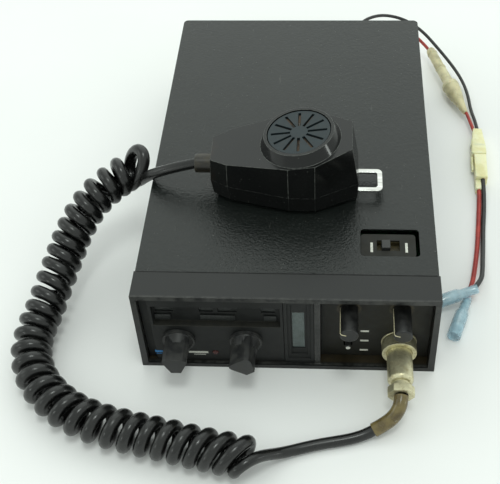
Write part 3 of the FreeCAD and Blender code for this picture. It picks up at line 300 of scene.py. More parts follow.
def panel_plastic():
    """Matt black panel with dust on its ledge and round the knobs on the right."""
    f = Finish("panel_plastic")
    grain = f.cloud(0.3, 2.0)
    smudge = f.cloud(9.0, 5.0, 0.65)
    dust = specks(f, 0.5, 0.2)
    across = f.along(0)
    height = f.along(2)
    colour = f.blend(f.between(smudge, 0.35, 0.7), (0.0068, 0.0075, 0.0072), (0.0115, 0.0125, 0.0118))
    # Right of x 18 to 20 mm the panel is tinted a little darker and browner in cloudy patches.
    right = f.between(across, 18.0, 20.0)
    grime = f.between(f.cloud(3.0, 4.0, 0.6), 0.3, 0.65, 0.35, 0.85)
    colour = f.blend(right * grime, colour, (0.0095, 0.0085, 0.0045))
    up = height - control_knob_z
    for knob_x in (volume_x, squelch_x):
        side = across - knob_x
        away = f.node("ShaderNodeMath", {"operation": "SQRT"}, {0: side * side + up * up})
        ring = 1.0 - f.between(abs(away - control_knob_radius - 0.7), 0.2, 1.5)
        ring = ring * f.between(f.cloud(1.6, 4.0), 0.25, 0.6, 0.2, 0.8)
        colour = f.blend(ring * right, colour, (0.055, 0.045, 0.026))
    ledge = (1.0 - f.between(abs(height - strip_bottom), 0.15, 0.75)) * (across < strip_right)
    colour = f.blend(dust * 0.12, colour, (0.1, 0.1, 0.085))
    colour = f.blend(ledge * f.between(f.cloud(2.0, 5.0, 0.7), 0.25, 0.65, 0.1, 0.8), colour, (0.022, 0.021, 0.016))
    return f.surface(Base_Color=colour, Roughness=f.between(smudge, 0.3, 0.7, 0.5, 0.66),
                     Specular_IOR_Level=0.34, Normal=f.bump(grain, 0.03, 0.5))


def gloss_black(name, rough=0.16):
    """Polished black plastic: finger marks, dust, hair-fine scratches, and rounded edges painted pale, partly as
    rubbed wear and partly as painted highlight.
    """
    f = Finish(name)
    smudge = f.cloud(26.0, 4.0, 0.55)
    dust = specks(f, 0.9, 0.12)
    hair = f.between(f.cloud(1.3, 3.0, 0.6, (1.0, 0.06, 1.0), (0.2, 0.3, 0.9)), 0.68, 0.75)
    edge = f.edge_wear_and_sheen(2.2, 0.34, 0.56)
    away = f.node("ShaderNodeVectorMath", {"operation": "DISTANCE"},
                  {0: f.coordinates(), 1: (-50.0, -37.7, 76.0)}, output="Value")
    glue = (1.0 - f.between(away, 9.0, 17.0)) * f.between(f.cloud(5.0, 5.0, 0.65), 0.42, 0.6)
    colour = f.blend(f.between(smudge, 0.35, 0.7), (0.0032, 0.0036, 0.0036), (0.0046, 0.005, 0.0048))
    # Painted highlight: the rounded edges are painted pale, partly for rubbing and partly for light caught along
    # them.
    colour = f.blend(edge * 0.3, colour, (0.22, 0.23, 0.21))
    colour = f.blend(glue * 0.6, colour, (0.03, 0.016, 0.008))
    colour = f.blend(dust * 0.4, colour, (0.18, 0.18, 0.16))
    roughness = f.between(smudge, 0.3, 0.72, rough, rough + 0.06) + dust * 0.25 + hair * 0.05 + edge * 0.12
    return f.surface(Base_Color=colour, Roughness=roughness, Specular_IOR_Level=0.4,
                     Normal=f.bump(hair * 0.3 + f.cloud(9.0, 2.0) * 0.3, 0.025, 0.3))


def satin_black(name, tone=1.0, rough=0.42, grain_depth=0.04):
    """Moulded black with a fine grain, paler where it is handled."""
    f = Finish(name)
    grain = f.cloud(0.35, 2.0)
    smudge = f.cloud(5.0, 5.0, 0.65)
    dust = specks(f, 0.5, 0.22)
    colour = f.blend(f.between(smudge, 0.35, 0.7), (0.005 * tone, 0.0052 * tone, 0.0054 * tone),
                     (0.012 * tone, 0.012 * tone, 0.0112 * tone))
    colour = f.blend(f.edge_wear_and_sheen(1.5) * 0.3, colour, (0.06, 0.058, 0.05))
    colour = f.blend(dust * 0.3 + specks(f, 1.4, 0.0) * 0.25, colour, (0.16, 0.155, 0.13))
    return f.surface(Base_Color=colour, Roughness=f.between(smudge, 0.3, 0.7, rough - 0.06, rough + 0.14),
                     Normal=f.bump(grain, grain_depth, 0.5))


def cord_rubber():
    """Black cord jacket with pale dust and a dull sheen."""
    f = Finish("cord_rubber")
    grain = f.cloud(0.4, 2.0)
    smudge = f.cloud(11.0, 5.0, 0.6)
    dust = specks(f, 0.55, 0.3)
    colour = f.blend(f.between(smudge, 0.35, 0.7), (0.0032, 0.0034, 0.0034), (0.0065, 0.0066, 0.0062))
    colour = f.blend(dust * 0.2, colour, (0.13, 0.127, 0.11))
    return f.surface(Base_Color=colour, Roughness=f.between(smudge, 0.3, 0.7, 0.22, 0.31) + dust * 0.2,
                     Specular_IOR_Level=0.55, Normal=f.bump(grain, 0.04, 0.4))


def wire_jacket(name, dark, pale, rough=0.4):
    """Plastic insulation on a thin lead."""
    f = Finish(name)
    smudge = f.cloud(7.0, 5.0, 0.65)
    dust = specks(f, 0.5, 0.25)
    colour = f.blend(f.between(smudge, 0.35, 0.68), dark, pale)
    colour = f.blend(dust * 0.3, colour, (0.3, 0.27, 0.22))
    return f.surface(Base_Color=colour, Roughness=f.between(smudge, 0.3, 0.7, rough - 0.06, rough + 0.12),
                     Normal=f.bump(f.cloud(0.8, 2.0), 0.03, 0.4))


def aged_nickel(name, stain=0.55, tone=1.0):
    """Nickel plating gone brown in patches, with turning marks."""
    f = Finish(name)
    patch = f.between(f.cloud(3.2, 6.0, 0.7), 0.42, 0.66)
    spots = specks(f, 0.5, 0.35, 2.0)
    turning = f.cloud(0.22, 2.0, 0.5, (0.15, 1.0, 0.15))
    colour = f.blend(patch * stain, (0.7 * tone, 0.66 * tone, 0.45 * tone), (0.36 * tone, 0.3 * tone, 0.16 * tone))
    colour = f.blend(spots * 0.5, colour, (0.09, 0.06, 0.035))
    return f.surface(Base_Color=colour, Metallic=0.9 - spots * 0.5,
                     Roughness=f.between(turning, 0.3, 0.7, 0.3, 0.44) + patch * 0.14 + spots * 0.25,
                     Normal=f.bump(turning, 0.02, 0.4))


def bright_steel(name, tone=0.66, rough=0.16):
    """Polished steel with fine rubbing marks."""
    f = Finish(name)
    rub = f.cloud(1.2, 4.0, 0.6, (0.1, 1.0, 1.0))
    colour = f.blend(f.between(rub, 0.35, 0.7), (tone, tone, tone * 0.97), (tone * 0.72, tone * 0.71, tone * 0.68))
    return f.surface(Base_Color=colour, Metallic=1.0, Roughness=f.between(rub, 0.3, 0.7, rough, rough + 0.14))


def slate_paint():
    """Blue-grey paint on the grille, worn brown at the slots."""
    f = Finish("slate_paint")
    smudge = f.cloud(4.0, 5.0, 0.65)
    grime = f.between(f.cloud(1.6, 4.0, 0.7), 0.5, 0.68)
    colour = f.blend(f.between(smudge, 0.35, 0.7), (0.0095, 0.018, 0.0225), (0.0155, 0.0265, 0.031))
    colour = f.blend(grime * 0.2, colour, (0.05, 0.036, 0.022))
    return f.surface(Base_Color=colour, Roughness=f.between(smudge, 0.3, 0.7, 0.3, 0.42),
                     Specular_IOR_Level=0.3, Normal=f.bump(f.cloud(0.5, 2.0), 0.03, 0.4))


def nylon(name, pale, yellow, cloudy=0.0):
    """Ivory nylon, a little yellow and grubby; cloudy lets light through."""
    f = Finish(name)
    patch = f.between(f.cloud(6.0, 5.0, 0.6), 0.38, 0.68)
    grime = f.between(f.cloud(1.4, 4.0, 0.7), 0.58, 0.72)
    colour = f.blend(patch, pale, yellow)
    colour = f.blend(grime * 0.25, colour, (0.3, 0.25, 0.16))
    f.surface(Subsurface_Weight=0.25 + cloudy * 0.4, Subsurface_Radius=(0.004, 0.003, 0.002), Subsurface_Scale=1.0)
    return f.surface(Base_Color=colour, Roughness=f.between(patch, 0.0, 1.0, 0.32, 0.45),
                     Normal=f.bump(f.cloud(0.6, 2.0), 0.03, 0.4))


def clear_plastic(name, tint, share, rough=0.08):
    """See-through plastic with finger marks."""
    f = Finish(name)
    smudge = f.cloud(5.0, 5.0, 0.65)
    f.surface(IOR=1.46)
    return f.surface(Base_Color=f.blend(f.between(smudge, 0.3, 0.7), tint, tuple(c * 0.7 for c in tint)), Alpha=share,
                     Roughness=f.between(smudge, 0.3, 0.7, rough, rough + 0.14))


def shrunk_sleeve():
    """Brown see-through sleeve shrunk on the cord, glossy, with pale streaks of painted highlight."""
    f = Finish("sleeve_brown")
    patch = f.between(f.cloud(5.0, 3.0, 0.5), 0.36, 0.72)
    painted_highlight_streak = f.between(f.cloud(1.2, 3.0, 0.6, (0.4, 0.4, 1.0), (0, 0, 0.5)), 0.66, 0.74)
    colour = f.blend(patch, (0.17, 0.13, 0.05), (0.085, 0.062, 0.026))
    # Painted highlight: pale streaks stand for light caught on the glossy sleeve.
    colour = f.blend(painted_highlight_streak * 0.45, colour, (0.42, 0.38, 0.26))
    return f.surface(Base_Color=colour, Roughness=f.between(patch, 0.0, 1.0, 0.14, 0.3), Alpha=0.94,
                     Normal=f.bump(f.cloud(2.0, 3.0), 0.12, 0.5))


def plain_print(name, colour, rough=0.5):
    """Printed or filled mark with slight unevenness."""
    f = Finish(name)
    uneven = f.between(f.cloud(1.1, 4.0, 0.7), 0.35, 0.7)
    return f.surface(Base_Color=f.blend(uneven, colour, tuple(c * 0.68 for c in colour)),
                     Roughness=f.between(uneven, 0.0, 1.0, rough, rough + 0.15))


def cast_metal(name, colour, metallic=1.0, rough=0.38):
    """Plain or anodised metal with a faint grain."""
    f = Finish(name)
    grain = f.cloud(0.5, 3.0, 0.6, (0.3, 1.0, 1.0))
    tone = f.blend(f.between(f.cloud(14.0, 5.0), 0.35, 0.7), colour, tuple(c * 0.75 for c in colour))
    return f.surface(Base_Color=tone, Metallic=metallic,
                     Roughness=f.between(grain, 0.3, 0.7, rough - 0.08, rough + 0.1),
                     Normal=f.bump(grain, 0.03, 0.4))


def board_lacquer():
    """Green circuit board with copper tracks under the lacquer."""
    f = Finish("board_lacquer")
    tracks = f.node("ShaderNodeTexBrick", {"offset": 0.3},
                    {"Vector": f.coordinates(), "Scale": 0.12, "Mortar Size": 0.06}, output="Fac")
    colour = f.blend(tracks, (0.012, 0.07, 0.028), (0.03, 0.13, 0.05))
    return f.surface(Base_Color=colour, Roughness=f.between(f.cloud(6.0), 0.3, 0.7, 0.3, 0.45))


def pale_floor():
    """Plain pale table."""
    f = Finish("pale_floor")
    tone = f.blend(f.between(f.cloud(90.0, 2.0), 0.3, 0.7), (0.84, 0.84, 0.835), (0.85, 0.85, 0.845))
    return f.surface(Base_Color=tone, Roughness=0.75, Specular_IOR_Level=0.2)


# ---------------------------------------------------------------- making pieces

def piece(name, mesh_source, body, material, stands_for=(), smooth_angle=32.0):
    """Object at the origin from a bmesh, riding on a body."""
    mesh = bpy.data.meshes.new(name)
    mesh_source.to_mesh(mesh)
    mesh_source.free()
    made = bpy.data.objects.new(name, mesh)
    bpy.context.scene.collection.objects.link(made)
    mesh.materials.append(material)
    mesh.shade_smooth()
    mesh.set_sharp_from_angle(angle=math.radians(smooth_angle))
    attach(made, body)
    if stands_for:
        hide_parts(*stands_for)
    return made


def body_of(node):
    """Body that a node of the part belongs to."""
    return frame["nodes"][node]["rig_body"]


slot_of = {row["node"]: row["material_slot"] for row in frame["record"]["subparts"]}


def even_shading(made):
    """Large flat faces set the shading, so that only the rounded edges curve."""
    modifier = made.modifiers.new("even_shading", "WEIGHTED_NORMAL")
    modifier.keep_sharp = True
    modifier.weight = 100
    return made


def softened(node, material, width=0.3, segments=2, angle=35.0, smooth_angle=40.0):
    """Copy of a node with its sharp edges rounded by a width in millimetres."""
    work = bmesh.new()
    work.from_mesh(frame["nodes"][node].data)
    bmesh.ops.remove_doubles(work, verts=work.verts, dist=0.002 * MM)
    bmesh.ops.dissolve_limit(work, angle_limit=math.radians(1.0), verts=work.verts, edges=work.edges)
    sharp = [edge for edge in work.edges if len(edge.link_faces) == 2
             and edge.calc_face_angle(0.0) > math.radians(angle)]
    # Bevel faces get a mark in this layer; finishes use it for rubbed wear, and the microphone also for painted
    # highlight.
    wear_and_sheen_layer = work.faces.layers.float.new("wear_and_sheen_edge")
    rounded = bmesh.ops.bevel(work, geom=sharp, offset=width * MM, affect="EDGES", segments=segments, profile=0.5,
                              material=-1, clamp_overlap=True)
    for face in rounded["faces"]:
        face[wear_and_sheen_layer] = 1.0
    return even_shading(piece(node + "_look", work, body_of(node), material, [node], smooth_angle))


def slab(low, high):
    """Box between two corners in millimetres."""
    work = bmesh.new()
    bmesh.ops.create_cube(work, size=1.0)
    size = Vector(high) - Vector(low)
    middle = (Vector(high) + Vector(low)) / 2
    bmesh.ops.scale(work, vec=size * MM, verts=work.verts)
    bmesh.ops.translate(work, vec=middle * MM, verts=work.verts)
    return work


def turned(profile, place, direction, sides=64):
    """Closed shape spun from a profile of (distance along, radius) in millimetres."""
    work = bmesh.new()
    corners = [work.verts.new((radius * MM, 0.0, along * MM)) for along, radius in profile]
    edges = [work.edges.new(pair) for pair in zip(corners, corners[1:])]
    bmesh.ops.spin(work, geom=corners + edges, cent=(0, 0, 0), axis=(0, 0, 1), angle=math.tau, steps=sides,
                   use_merge=True)
    bmesh.ops.remove_doubles(work, verts=work.verts, dist=0.001 * MM)
    bmesh.ops.recalc_face_normals(work, faces=work.faces)
    aim = Vector((0, 0, 1)).rotation_difference(Vector(direction)).to_matrix().to_4x4()
    bmesh.ops.transform(work, matrix=Matrix.Translation(Vector(place) * MM) @ aim, verts=work.verts)
    return work


def merged(parts):
    """Several bmeshes in one."""
    whole = bmesh.new()
    for part in parts:
        mesh = bpy.data.meshes.new("joining")
        part.to_mesh(mesh)
        part.free()
        whole.from_mesh(mesh)
        bpy.data.meshes.remove(mesh)
    return whole


def tapered_block(width, height, start, end, end_width, end_height, middle=(0.0, 0.0), rounding=0.5):
    """Block along -Y between two distances whose far end has another width and height."""
    work = slab((-width / 2 + middle[0], -end, -height / 2 + middle[1]),
                (width / 2 + middle[0], -start, height / 2 + middle[1]))
    far = [vert for vert in work.verts if vert.co.y < -(start + end) / 2 * MM]
    bmesh.ops.scale(work, vec=(end_width / width, 1.0, end_height / height), verts=far,
                    space=Matrix.Translation(Vector((-middle[0], 0.0, -middle[1])) * MM))
    bmesh.ops.bevel(work, geom=work.edges[:], offset=rounding * MM, affect="EDGES", segments=3, profile=0.5,
                    material=-1)
    return work


def marks(name, boxes, body, material):
    """Thin printed bars between pairs of corners."""
    return piece(name, merged([slab(low, high) for low, high in boxes]), body, material)


def face_bar(left, right, low, high, face_y):
    """Corners of a printed bar on a panel that faces forward."""
    return (left, face_y - 0.05, low), (right, face_y + 0.2, high)


def plate_bar(left, right):
    """Corners of a printed bar on the slide switch's plate."""
    return (left, -85.0, slide_plate_top - 0.1), (right, -78.4, slide_plate_top + 0.05)


def knob_line(name, knob_x, turn, body, material):
    """Filled groove along a round knob and over its nose."""
    half_width = 0.27
    out = control_knob_radius + 0.12
    outline = [(1.6, -0.1), (3.9, -0.1), (4.5, 0.2), (out, 0.8), (out, 16.8), (4.5, 16.8), (4.5, 1.0),
               (4.3, 0.55), (3.85, 0.2), (1.6, 0.2)]
    work = bmesh.new()
    side = work.faces.new([work.verts.new((away * MM, (control_nose_y + behind) * MM, -half_width * MM))
                           for away, behind in outline])
    grown = bmesh.ops.extrude_face_region(work, geom=[side])
    bmesh.ops.translate(work, vec=(0.0, 0.0, 2 * half_width * MM),
                        verts=[item for item in grown["geom"] if isinstance(item, bmesh.types.BMVert)])
    bmesh.ops.recalc_face_normals(work, faces=work.faces)
    place = Matrix.Translation(Vector((knob_x, 0.0, control_knob_z)) * MM)
    bmesh.ops.transform(work, matrix=place @ Matrix.Rotation(-math.radians(turn), 4, "Y"), verts=work.verts)
    return piece(name, work, body, material)


# ---------------------------------------------------------------- cords

def route_curve(name, points, thickness=0.0, steps=8):
    """Open NURBS curve with the route's points, in millimetres, as its control points."""
    curve = bpy.data.curves.new(name, "CURVE")
    curve.dimensions = "3D"
    spline = curve.splines.new("NURBS")
    spline.points.add(len(points) - 1)
    for point, place in zip(spline.points, points):
        point.co = (*(Vector(place) * MM), 1.0)
    spline.order_u = 3
    spline.use_endpoint_u = True
    spline.resolution_u = steps
    curve.resolution_u = steps
    curve.bevel_depth = thickness / 2 * MM
    curve.bevel_resolution = 5
    curve.use_fill_caps = thickness > 0
    made = bpy.data.objects.new(name, curve)
    bpy.context.scene.collection.objects.link(made)
    return made


def evaluated_points(made):
    """Points of a curve with no bevel, in millimetres."""
    bpy.context.view_layer.update()
    mesh = bpy.data.meshes.new_from_object(made.evaluated_get(bpy.context.evaluated_depsgraph_get()))
    points = [vertex.co / MM for vertex in mesh.vertices]
    bpy.data.meshes.remove(mesh)
    return points


def table_value(rows, place, column):
    """Value in a column of a table of rows sorted by their first entry, carried on past both ends."""
    index = 0
    while index < len(rows) - 2 and rows[index + 1][0] < place:
        index += 1
    low, high = rows[index], rows[index + 1]
    share = (place - low[0]) / (high[0] - low[0])
    return low[column] + (high[column] - low[column]) * share


def point_along(line, starts, distance):
    """Place and direction at a distance along a line, carried on straight past both ends."""
    index = 0
    while index < len(line) - 2 and starts[index + 1] < distance:
        index += 1
    direction = (line[index + 1] - line[index]).normalized()
    return line[index] + direction * (distance - starts[index]), direction


def curl_points():
    """Helix round the coil's route, its loops spaced and leaning by the tables."""
    guide = route_curve("coil_guide", coil_route, steps=24)
    line = evaluated_points(guide)
    bpy.data.objects.remove(guide)
    starts = [0.0]
    for before, after in zip(line, line[1:]):
        starts.append(starts[-1] + (after - before).length)
    turn_rows = [(index + 1.0, place) for index, place in enumerate(turn_places)]
    points = []
    for step in range(int((coil_last_turn - coil_first_turn) * turn_points) + 1):
        turn = coil_first_turn + step / turn_points
        place, direction = point_along(line, starts, table_value(turn_rows, turn, 1))
        upper = (facing_point - place).normalized()
        upper = (upper - direction * upper.dot(direction)).normalized()
        side = direction.cross(upper)
        across, forward = math.sin(-math.tau * turn), math.cos(-math.tau * turn)
        lean = table_value(loop_leans, turn, 1) * across + table_value(loop_leans, turn, 2) * forward
        points.append(place + (side * across + upper * forward) * coil_turn_radius + direction * lean)
    return points


def microphone_cord(material):
    """Lead from the microphone, the curled run and the lead to the plug, as one tube."""
    before = [Vector(p) for p in mic_end_route[:-2]]
    curl = curl_points()
    after = [Vector(p) for p in plug_end_route + sleeve_route]
    points = before + curl + after
    guide = route_curve("cord_guide", points, steps=3)
    line = evaluated_points(guide)
    bpy.data.objects.remove(guide)
    tube = route_curve("cord_tube", points, thickness=coil_wire, steps=3)
    for index, point in enumerate(tube.data.splines[0].points):
        point.radius = 1.0 if len(before) <= index < len(before) + len(curl) else lead_wire / coil_wire
    bpy.context.view_layer.update()
    mesh = bpy.data.meshes.new_from_object(tube.evaluated_get(bpy.context.evaluated_depsgraph_get()))
    bpy.data.objects.remove(tube)
    mesh.name = "microphone_cord"
    made = bpy.data.objects.new("microphone_cord", mesh)
    bpy.context.scene.collection.objects.link(made)
    mesh.materials.clear()
    mesh.materials.append(material)
    mesh.shade_smooth()
    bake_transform(made)
    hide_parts("cord_mic_end", "cord_coil", "cord_plug_end")
    total = sum((b - a).length for a, b in zip(line, line[1:])) * MM
    return made, [list(p * MM) for p in line], total


def thin_lead(name, route, thickness, material, stands_for):
    """One free lead as a curve, with its true length."""
    guide = route_curve(name + "_guide", route, steps=12)
    line = evaluated_points(guide)
    bpy.data.objects.remove(guide)
    made = route_curve(name, route, thickness, steps=12)
    made.data.materials.append(material)
    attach(made, "case")
    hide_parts(*stands_for)
    return made, sum((b - a).length for a, b in zip(line, line[1:])) * MM


# ---------------------------------------------------------------- fittings on the power lead

def fuse_holder_look():
    """Turned fuse holder: ribbed cap, wide barrel with a ridge, long taper to the lead."""
    start, end = Vector(fuse_ends[0]), Vector(fuse_ends[1])
    total = (end - start).length
    profile = [(-0.6, 0.0), (-0.6, 1.9), (0.3, 2.7), (1.6, 3.2), (4.0, 3.3), (4.3, 3.6), (5.2, 3.6), (5.5, 3.3),
               (20.0, 3.4), (20.3, 3.7), (21.2, 3.7), (21.5, 3.4), (34.0, 3.6), (36.6, 4.2), (38.2, 5.5), (39.4, 5.8),
               (41.2, 5.8), (41.6, 5.5), (46.0, 5.4), (50.0, 4.7), (56.0, 3.5), (61.0, 2.6), (total - 1.0, 1.9),
               (total, 1.5), (total, 0.0)]
    work = turned(profile, start, end - start, 48)
    return piece("fuse_holder_look", work, "case", finishes["fuse"], ["fuse_holder"])


def terminal_look(name, ends, stands_for=()):
    """Hollow insulating sleeve of one bullet terminal, and the metal tube inside it."""
    start, end = Vector(ends[0]), Vector(ends[1])
    total = (end - start).length
    sleeve = [(0.0, 2.1), (0.0, 2.5), (0.4, 2.75), (9.2, 2.75), (10.2, 3.1), (11.6, 3.8), (total - 0.4, 3.9),
              (total, 3.75), (total, 3.45), (total - 0.4, 3.35), (12.0, 3.25), (10.0, 2.5), (9.0, 2.2), (0.0, 2.1)]
    metal = [(1.0, 0.0), (1.0, 1.9), (8.6, 1.9), (9.6, 2.3), (11.0, 2.9), (22.0, 2.9), (22.2, 2.6), (12.5, 2.4),
             (12.5, 0.0)]
    clear = piece(name + "_sleeve", turned(sleeve, start, end - start, 40), "case", finishes["terminal"],
                  stands_for)
    tube = piece(name + "_tube", turned(metal, start, end - start, 32), "case", finishes["steel"])
    return [clear, tube]


def connector_look(name, parts, stands_for):
    """One half of the lead connector from blocks along its length."""
    work = merged(parts)
    place = Matrix.Translation(Vector(connector_start) * MM)
    bmesh.ops.transform(work, matrix=place @ Matrix.Rotation(math.radians(connector_turn), 4, "Z"), verts=work.verts)
    return piece(name, work, "case", finishes["connector"], [stands_for], 50.0)


# ---------------------------------------------------------------- build

finishes = {
    "cover": cover_paint(),
    "bezel": bezel_plastic(),
    "panel": panel_plastic(),
    "mic": gloss_black("microphone_gloss", 0.15),
    "knob": satin_black("knob_satin", 2.6, 0.42),
    "control_knob": satin_black("control_knob_satin", 1.1, 0.4),
    "inside": satin_black("switch_body_black", 1.6, 0.5),
    "cord": cord_rubber(),
    "wire_black": wire_jacket("wire_black", (0.012, 0.012, 0.012), (0.03, 0.03, 0.03)),
    "wire_red": wire_jacket("wire_red", (0.3, 0.022, 0.018), (0.44, 0.05, 0.036)),
    "plug": aged_nickel("aged_nickel", 0.6),
    "steel": bright_steel("bright_steel"),
    "loop": bright_steel("loop_steel", 0.72, 0.12),
    "grille": slate_paint(),
    "connector": nylon("connector_nylon", (0.83, 0.8, 0.52), (0.74, 0.69, 0.36), 0.3),
    "fuse": nylon("fuse_holder_nylon", (0.63, 0.58, 0.36), (0.45, 0.41, 0.25), 0.5),
    "terminal": clear_plastic("terminal_sleeve", (0.52, 0.76, 0.88), 0.4, 0.1),
    "glass": clear_plastic("window_clear", (0.012, 0.014, 0.013), 0.9, 0.3),
    "meter_clear": clear_plastic("meter_clear", (0.115, 0.145, 0.14), 0.85, 0.12),
    "lamp": clear_plastic("lamp_red", (0.07, 0.009, 0.007), 1.0, 0.14),
    "label": plain_print("label_grey", (0.0125, 0.0145, 0.0135), 0.36),
    "white": plain_print("white_print", (0.62, 0.62, 0.56)),
    "cream": plain_print("cream_fill", (0.66, 0.6, 0.4)),
    "blue_print": plain_print("blue_print", (0.02, 0.17, 0.42)),
    "felt": wire_jacket("brown_felt", (0.075, 0.052, 0.036), (0.115, 0.082, 0.058), 0.85),
    # Painted shade: near-black finish for the strip that stands for the shaded gap at the cover seam.
    "seam": wire_jacket("painted_seam_shade", (0.0008, 0.0008, 0.0008), (0.0015, 0.0015, 0.0015), 0.8),
    "sleeve": shrunk_sleeve(),
    "boot": wire_jacket("boot_brown", (0.008, 0.007, 0.0055), (0.032, 0.025, 0.013), 0.34),
    "slot": wire_jacket("slot_brown", (0.05, 0.038, 0.01), (0.02, 0.015, 0.005), 0.5),
    "chassis": cast_metal("chassis_metal", (0.56, 0.56, 0.53)),
    "cooler": cast_metal("cooler_black", (0.03, 0.03, 0.031), 0.4, 0.42),
    "can": cast_metal("can_metal", (0.6, 0.6, 0.57)),
    "speaker": satin_black("speaker_black", 1.4, 0.55),
    "board": board_lacquer(),
}

finish_of_slot = {
    "bezel_plastic": "bezel", "panel_plastic": "panel", "clear_window": "glass", "label_grey": "label",
    "lamp_red": "lamp", "knob_plastic": "knob", "bright_steel": "steel", "switch_body": "inside", "nickel": "plug",
    "cover_paint": "cover", "chassis_metal": "chassis", "cooler_black": "cooler", "board": "board",
    "can_metal": "can", "speaker_parts": "speaker", "mic_plastic": "mic", "grille_grey": "grille",
    "steel_loop": "loop", "cord_black": "cord", "sleeve_brown": "sleeve", "wire_black": "wire_black",
    "wire_red": "wire_red", "fuse_ivory": "fuse", "connector_ivory": "connector", "terminal_blue": "terminal",
    "grommet_rubber": "cord",
}
for name, node in frame["nodes"].items():
    node.data.materials.clear()
    node.data.materials.append(finishes[finish_of_slot[slot_of[name]]])

finish_of_node = {"meter_glass": "meter_clear", "mic_boot": "boot", "slide_switch_body": "slot",
                  "volume_knob": "control_knob", "squelch_knob": "control_knob"}
for name, finish in finish_of_node.items():
    frame["nodes"][name].data.materials[0] = finishes[finish]

edge_widths = {
    "front_bezel": 0.5, "selector_panel": 0.2, "meter_frame": 0.2, "control_panel": 0.15, "top_cover": 0.35,
    "bottom_cover": 0.35, "selector_knob_left": 0.35, "selector_knob_right": 0.35, "mic_front_shell": 0.9,
    "mic_back_shell": 0.7, "mic_grille": 0.25, "mic_hanger_loop": 0.35, "ptt_button": 0.6, "mic_boot": 0.4,
    "slide_switch_plate": 0.12, "slide_switch_button": 0.35,
    "plug_clamp": 0.5, "plug_barrel": 0.3, "plug_ring": 0.3, "mic_socket": 0.3, "heat_sink": 0.25,
    "antenna_socket": 0.2, "speaker_jack": 0.25, "strip_label_bars": 0.1, "cover_screws": 0.1,
}
faceted = ("mic_front_shell", "mic_back_shell", "ptt_button")
looks = {name: softened(name, finishes[finish_of_node.get(name, finish_of_slot[slot_of[name]])], width,
                        angle=9.0 if name in faceted else 35.0)
         for name, width in edge_widths.items()}

# Index lines, the dot on the lever, printed bars, a near-black strip of painted shade along the seam behind the
# bezel, and the felt under the grille
knob_line("volume_line", volume_x, control_line_turn, body_of("volume_knob"), finishes["cream"])
knob_line("squelch_line", squelch_x, control_line_turn, body_of("squelch_knob"), finishes["cream"])
lever_dot = turned([(0.0, 0.0), (0.0, 1.2), (0.12, 1.1), (0.12, 0.0)], (volume_x, lever_tip_y + 0.02, lever_z),
                   (0, -1, 0), 24)
piece("lever_dot", lever_dot, body_of("mode_lever"), finishes["white"])

marks("control_bars", [face_bar(38.8, 43.2, middle - 0.7, middle + 0.7, control_face_y)
                       for middle in (24.3, 16.0, 7.6)], "case", finishes["white"])
marks("selector_bars", [face_bar(-52.6, -42.2, 9.0, 10.6, selector_face_y),
                        face_bar(-50.0, -43.6, 7.6, 8.1, selector_face_y)], "case", finishes["white"])
marks("selector_blue_bar", [face_bar(-71.0, -66.8, 8.9, 10.7, selector_face_y),
                            face_bar(-70.4, -67.4, 7.6, 8.1, selector_face_y)], "case", finishes["blue_print"])
marks("slide_bars", [plate_bar(43.2, 44.5), plate_bar(61.2, 62.5)], "case", finishes["white"])
# Painted shade: a near-black strip stands for the shaded gap where the cover meets the bezel.
marks("cover_seam_shade", [((-76.6, cover_front_y - 0.55, cover_top - 0.4), (76.6, cover_front_y + 0.1, cover_top + 0.33))],
      "case", finishes["seam"])
grille_lean = Vector((-math.sin(mic_face_slope), 0.0, math.cos(mic_face_slope)))
mic_face_centre = mic_centre + Vector((0.0, 0.0, mic_face_height))
felt = turned([(0.0, 0.0), (0.0, felt_radius), (felt_thickness, felt_radius), (felt_thickness, 0.0)],
              mic_face_centre + grille_lean * felt_height, grille_lean)
piece("grille_felt", felt, "microphone", finishes["felt"])

connector_upper = connector_look("connector_upper_look", [
    tapered_block(5.6, 5.8, 0.0, 17.5, 8.9, 8.3, rounding=0.6),
    tapered_block(9.0, 8.4, 16.8, 25.4, 9.2, 8.6, rounding=0.5),
    tapered_block(1.6, 3.2, 10.5, 16.5, 2.6, 3.6, (-3.6, 0.8), 0.3)], "connector_upper")
connector_lower = connector_look("connector_lower_look", [
    tapered_block(7.6, 7.6, 25.6, 47.0, 7.6, 7.9, (0.55, 0.1), 0.45),
    tapered_block(3.9, 5.6, 45.5, 54.4, 3.4, 4.6, (-1.3, -1.3), 0.4),
    tapered_block(1.5, 4.0, 25.8, 37.5, 1.3, 2.8, (-4.3, -0.6), 0.3)], "connector_lower")
fuse_look = fuse_holder_look()
black_terminal = terminal_look("black_terminal", black_terminal_ends, ["bullet_terminals"])
red_terminal = terminal_look("red_terminal", red_terminal_ends)

cord, cord_line, cord_length = microphone_cord(finishes["cord"])
sleeve = route_curve("cord_sleeve_look", sleeve_route, sleeve_width, steps=10)
sleeve.data.materials.append(finishes["sleeve"])
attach(sleeve, "case")
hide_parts("cord_sleeve")

black_lead, black_length = thin_lead("black_power_lead", black_lead_route, supply_wire, finishes["wire_black"],
                                     ["power_lead_black"])
red_lead, red_length = thin_lead("red_power_lead", red_lead_route, supply_wire, finishes["wire_red"],
                                 ["power_lead_red", "power_lead_fused"])
black_tail, black_tail_length = thin_lead("black_tail_lead", black_tail_route, tail_wire, finishes["wire_black"],
                                          ["power_tail_black"])
red_tail, red_tail_length = thin_lead("red_tail_lead", red_tail_route, tail_wire, finishes["wire_red"],
                                      ["power_tail_red"])

# ---------------------------------------------------------------- room, lights and camera

def table_top():
    """Wide pale plane under the case."""
    work = bmesh.new()
    bmesh.ops.create_grid(work, x_segments=1, y_segments=1, size=6.0)
    mesh = bpy.data.meshes.new("table_top")
    work.to_mesh(mesh)
    work.free()
    made = bpy.data.objects.new("table_top", mesh)
    bpy.context.scene.collection.objects.link(made)
    mesh.materials.append(pale_floor())


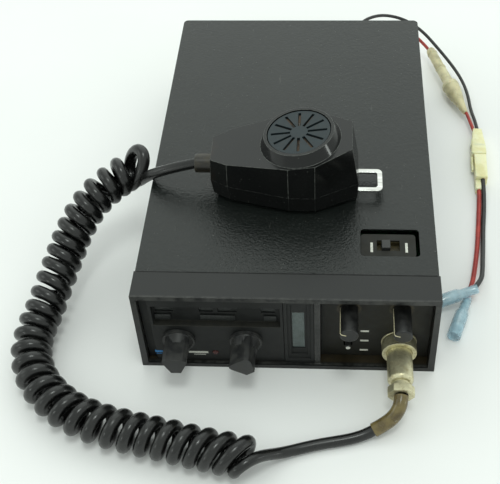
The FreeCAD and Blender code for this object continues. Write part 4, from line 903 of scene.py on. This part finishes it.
def soft_light(name, place, target, size, power, colour=(1.0, 1.0, 1.0)):
    """Square light panel aimed at a point."""
    lamp = bpy.data.lights.new(name, "AREA")
    lamp.size = size
    lamp.energy = power
    lamp.color = colour
    made = bpy.data.objects.new(name, lamp)
    made.location = place
    made.rotation_mode = "QUATERNION"
    made.rotation_quaternion = (Vector(target) - Vector(place)).to_track_quat("-Z", "Y")
    bpy.context.scene.collection.objects.link(made)


def front_camera():
    """Camera above and in front, turned a little to the left side."""
    camera = bpy.data.cameras.new("camera")
    camera.lens = 68.1
    camera.sensor_width = 36.0
    camera.shift_x = -0.056
    camera.shift_y = -0.034
    camera.clip_start = 0.01
    camera.clip_end = 20.0
    made = bpy.data.objects.new("camera", camera)
    bpy.context.scene.collection.objects.link(made)
    elevation, azimuth, roll = math.radians(47.13), math.radians(4.92), math.radians(-2.86)
    level = math.cos(elevation)
    back = Vector((math.sin(azimuth) * level, -math.cos(azimuth) * level, math.sin(elevation)))
    right = (-back).cross(Vector((0, 0, 1))).normalized()
    up = right.cross(-back)
    turned_right = right * math.cos(roll) + up * math.sin(roll)
    turned_up = up * math.cos(roll) - right * math.sin(roll)
    axes = Matrix((turned_right, turned_up, back)).transposed().to_4x4()
    made.matrix_world = Matrix.Translation((0.0238, -0.4086, 0.4265)) @ axes
    bpy.context.scene.camera = made


table_top()
bpy.context.scene.view_settings.view_transform = "Standard"
tint = (0.93, 1.0, 0.955)
soft_light("back_panel", (0.05, 1.1, 1.1), (0, 0.05, 0.02), 2.0, 8.6, tint)
soft_light("top_panel", (0.1, -0.35, 1.7), (0, -0.05, 0.02), 0.4, 6.0, tint)
soft_light("left_panel", (-1.4, -0.1, 0.7), (0, 0, 0.02), 0.6, 1.5, tint)
soft_light("low_left_lamp", (-0.72, -0.70, 0.28), (0, -0.04, 0.09), 0.10, 0.35, tint)
soft_light("low_right_lamp", (0.98, -0.25, 0.20), (0, -0.04, 0.09), 0.10, 0.35, tint)
world = bpy.data.worlds.new("studio")
bpy.context.scene.world = world
world.use_nodes = True
world.node_tree.nodes["Background"].inputs["Color"].default_value = (0.93, 1.0, 0.955, 1.0)
world.node_tree.nodes["Background"].inputs["Strength"].default_value = 0.82
front_camera()
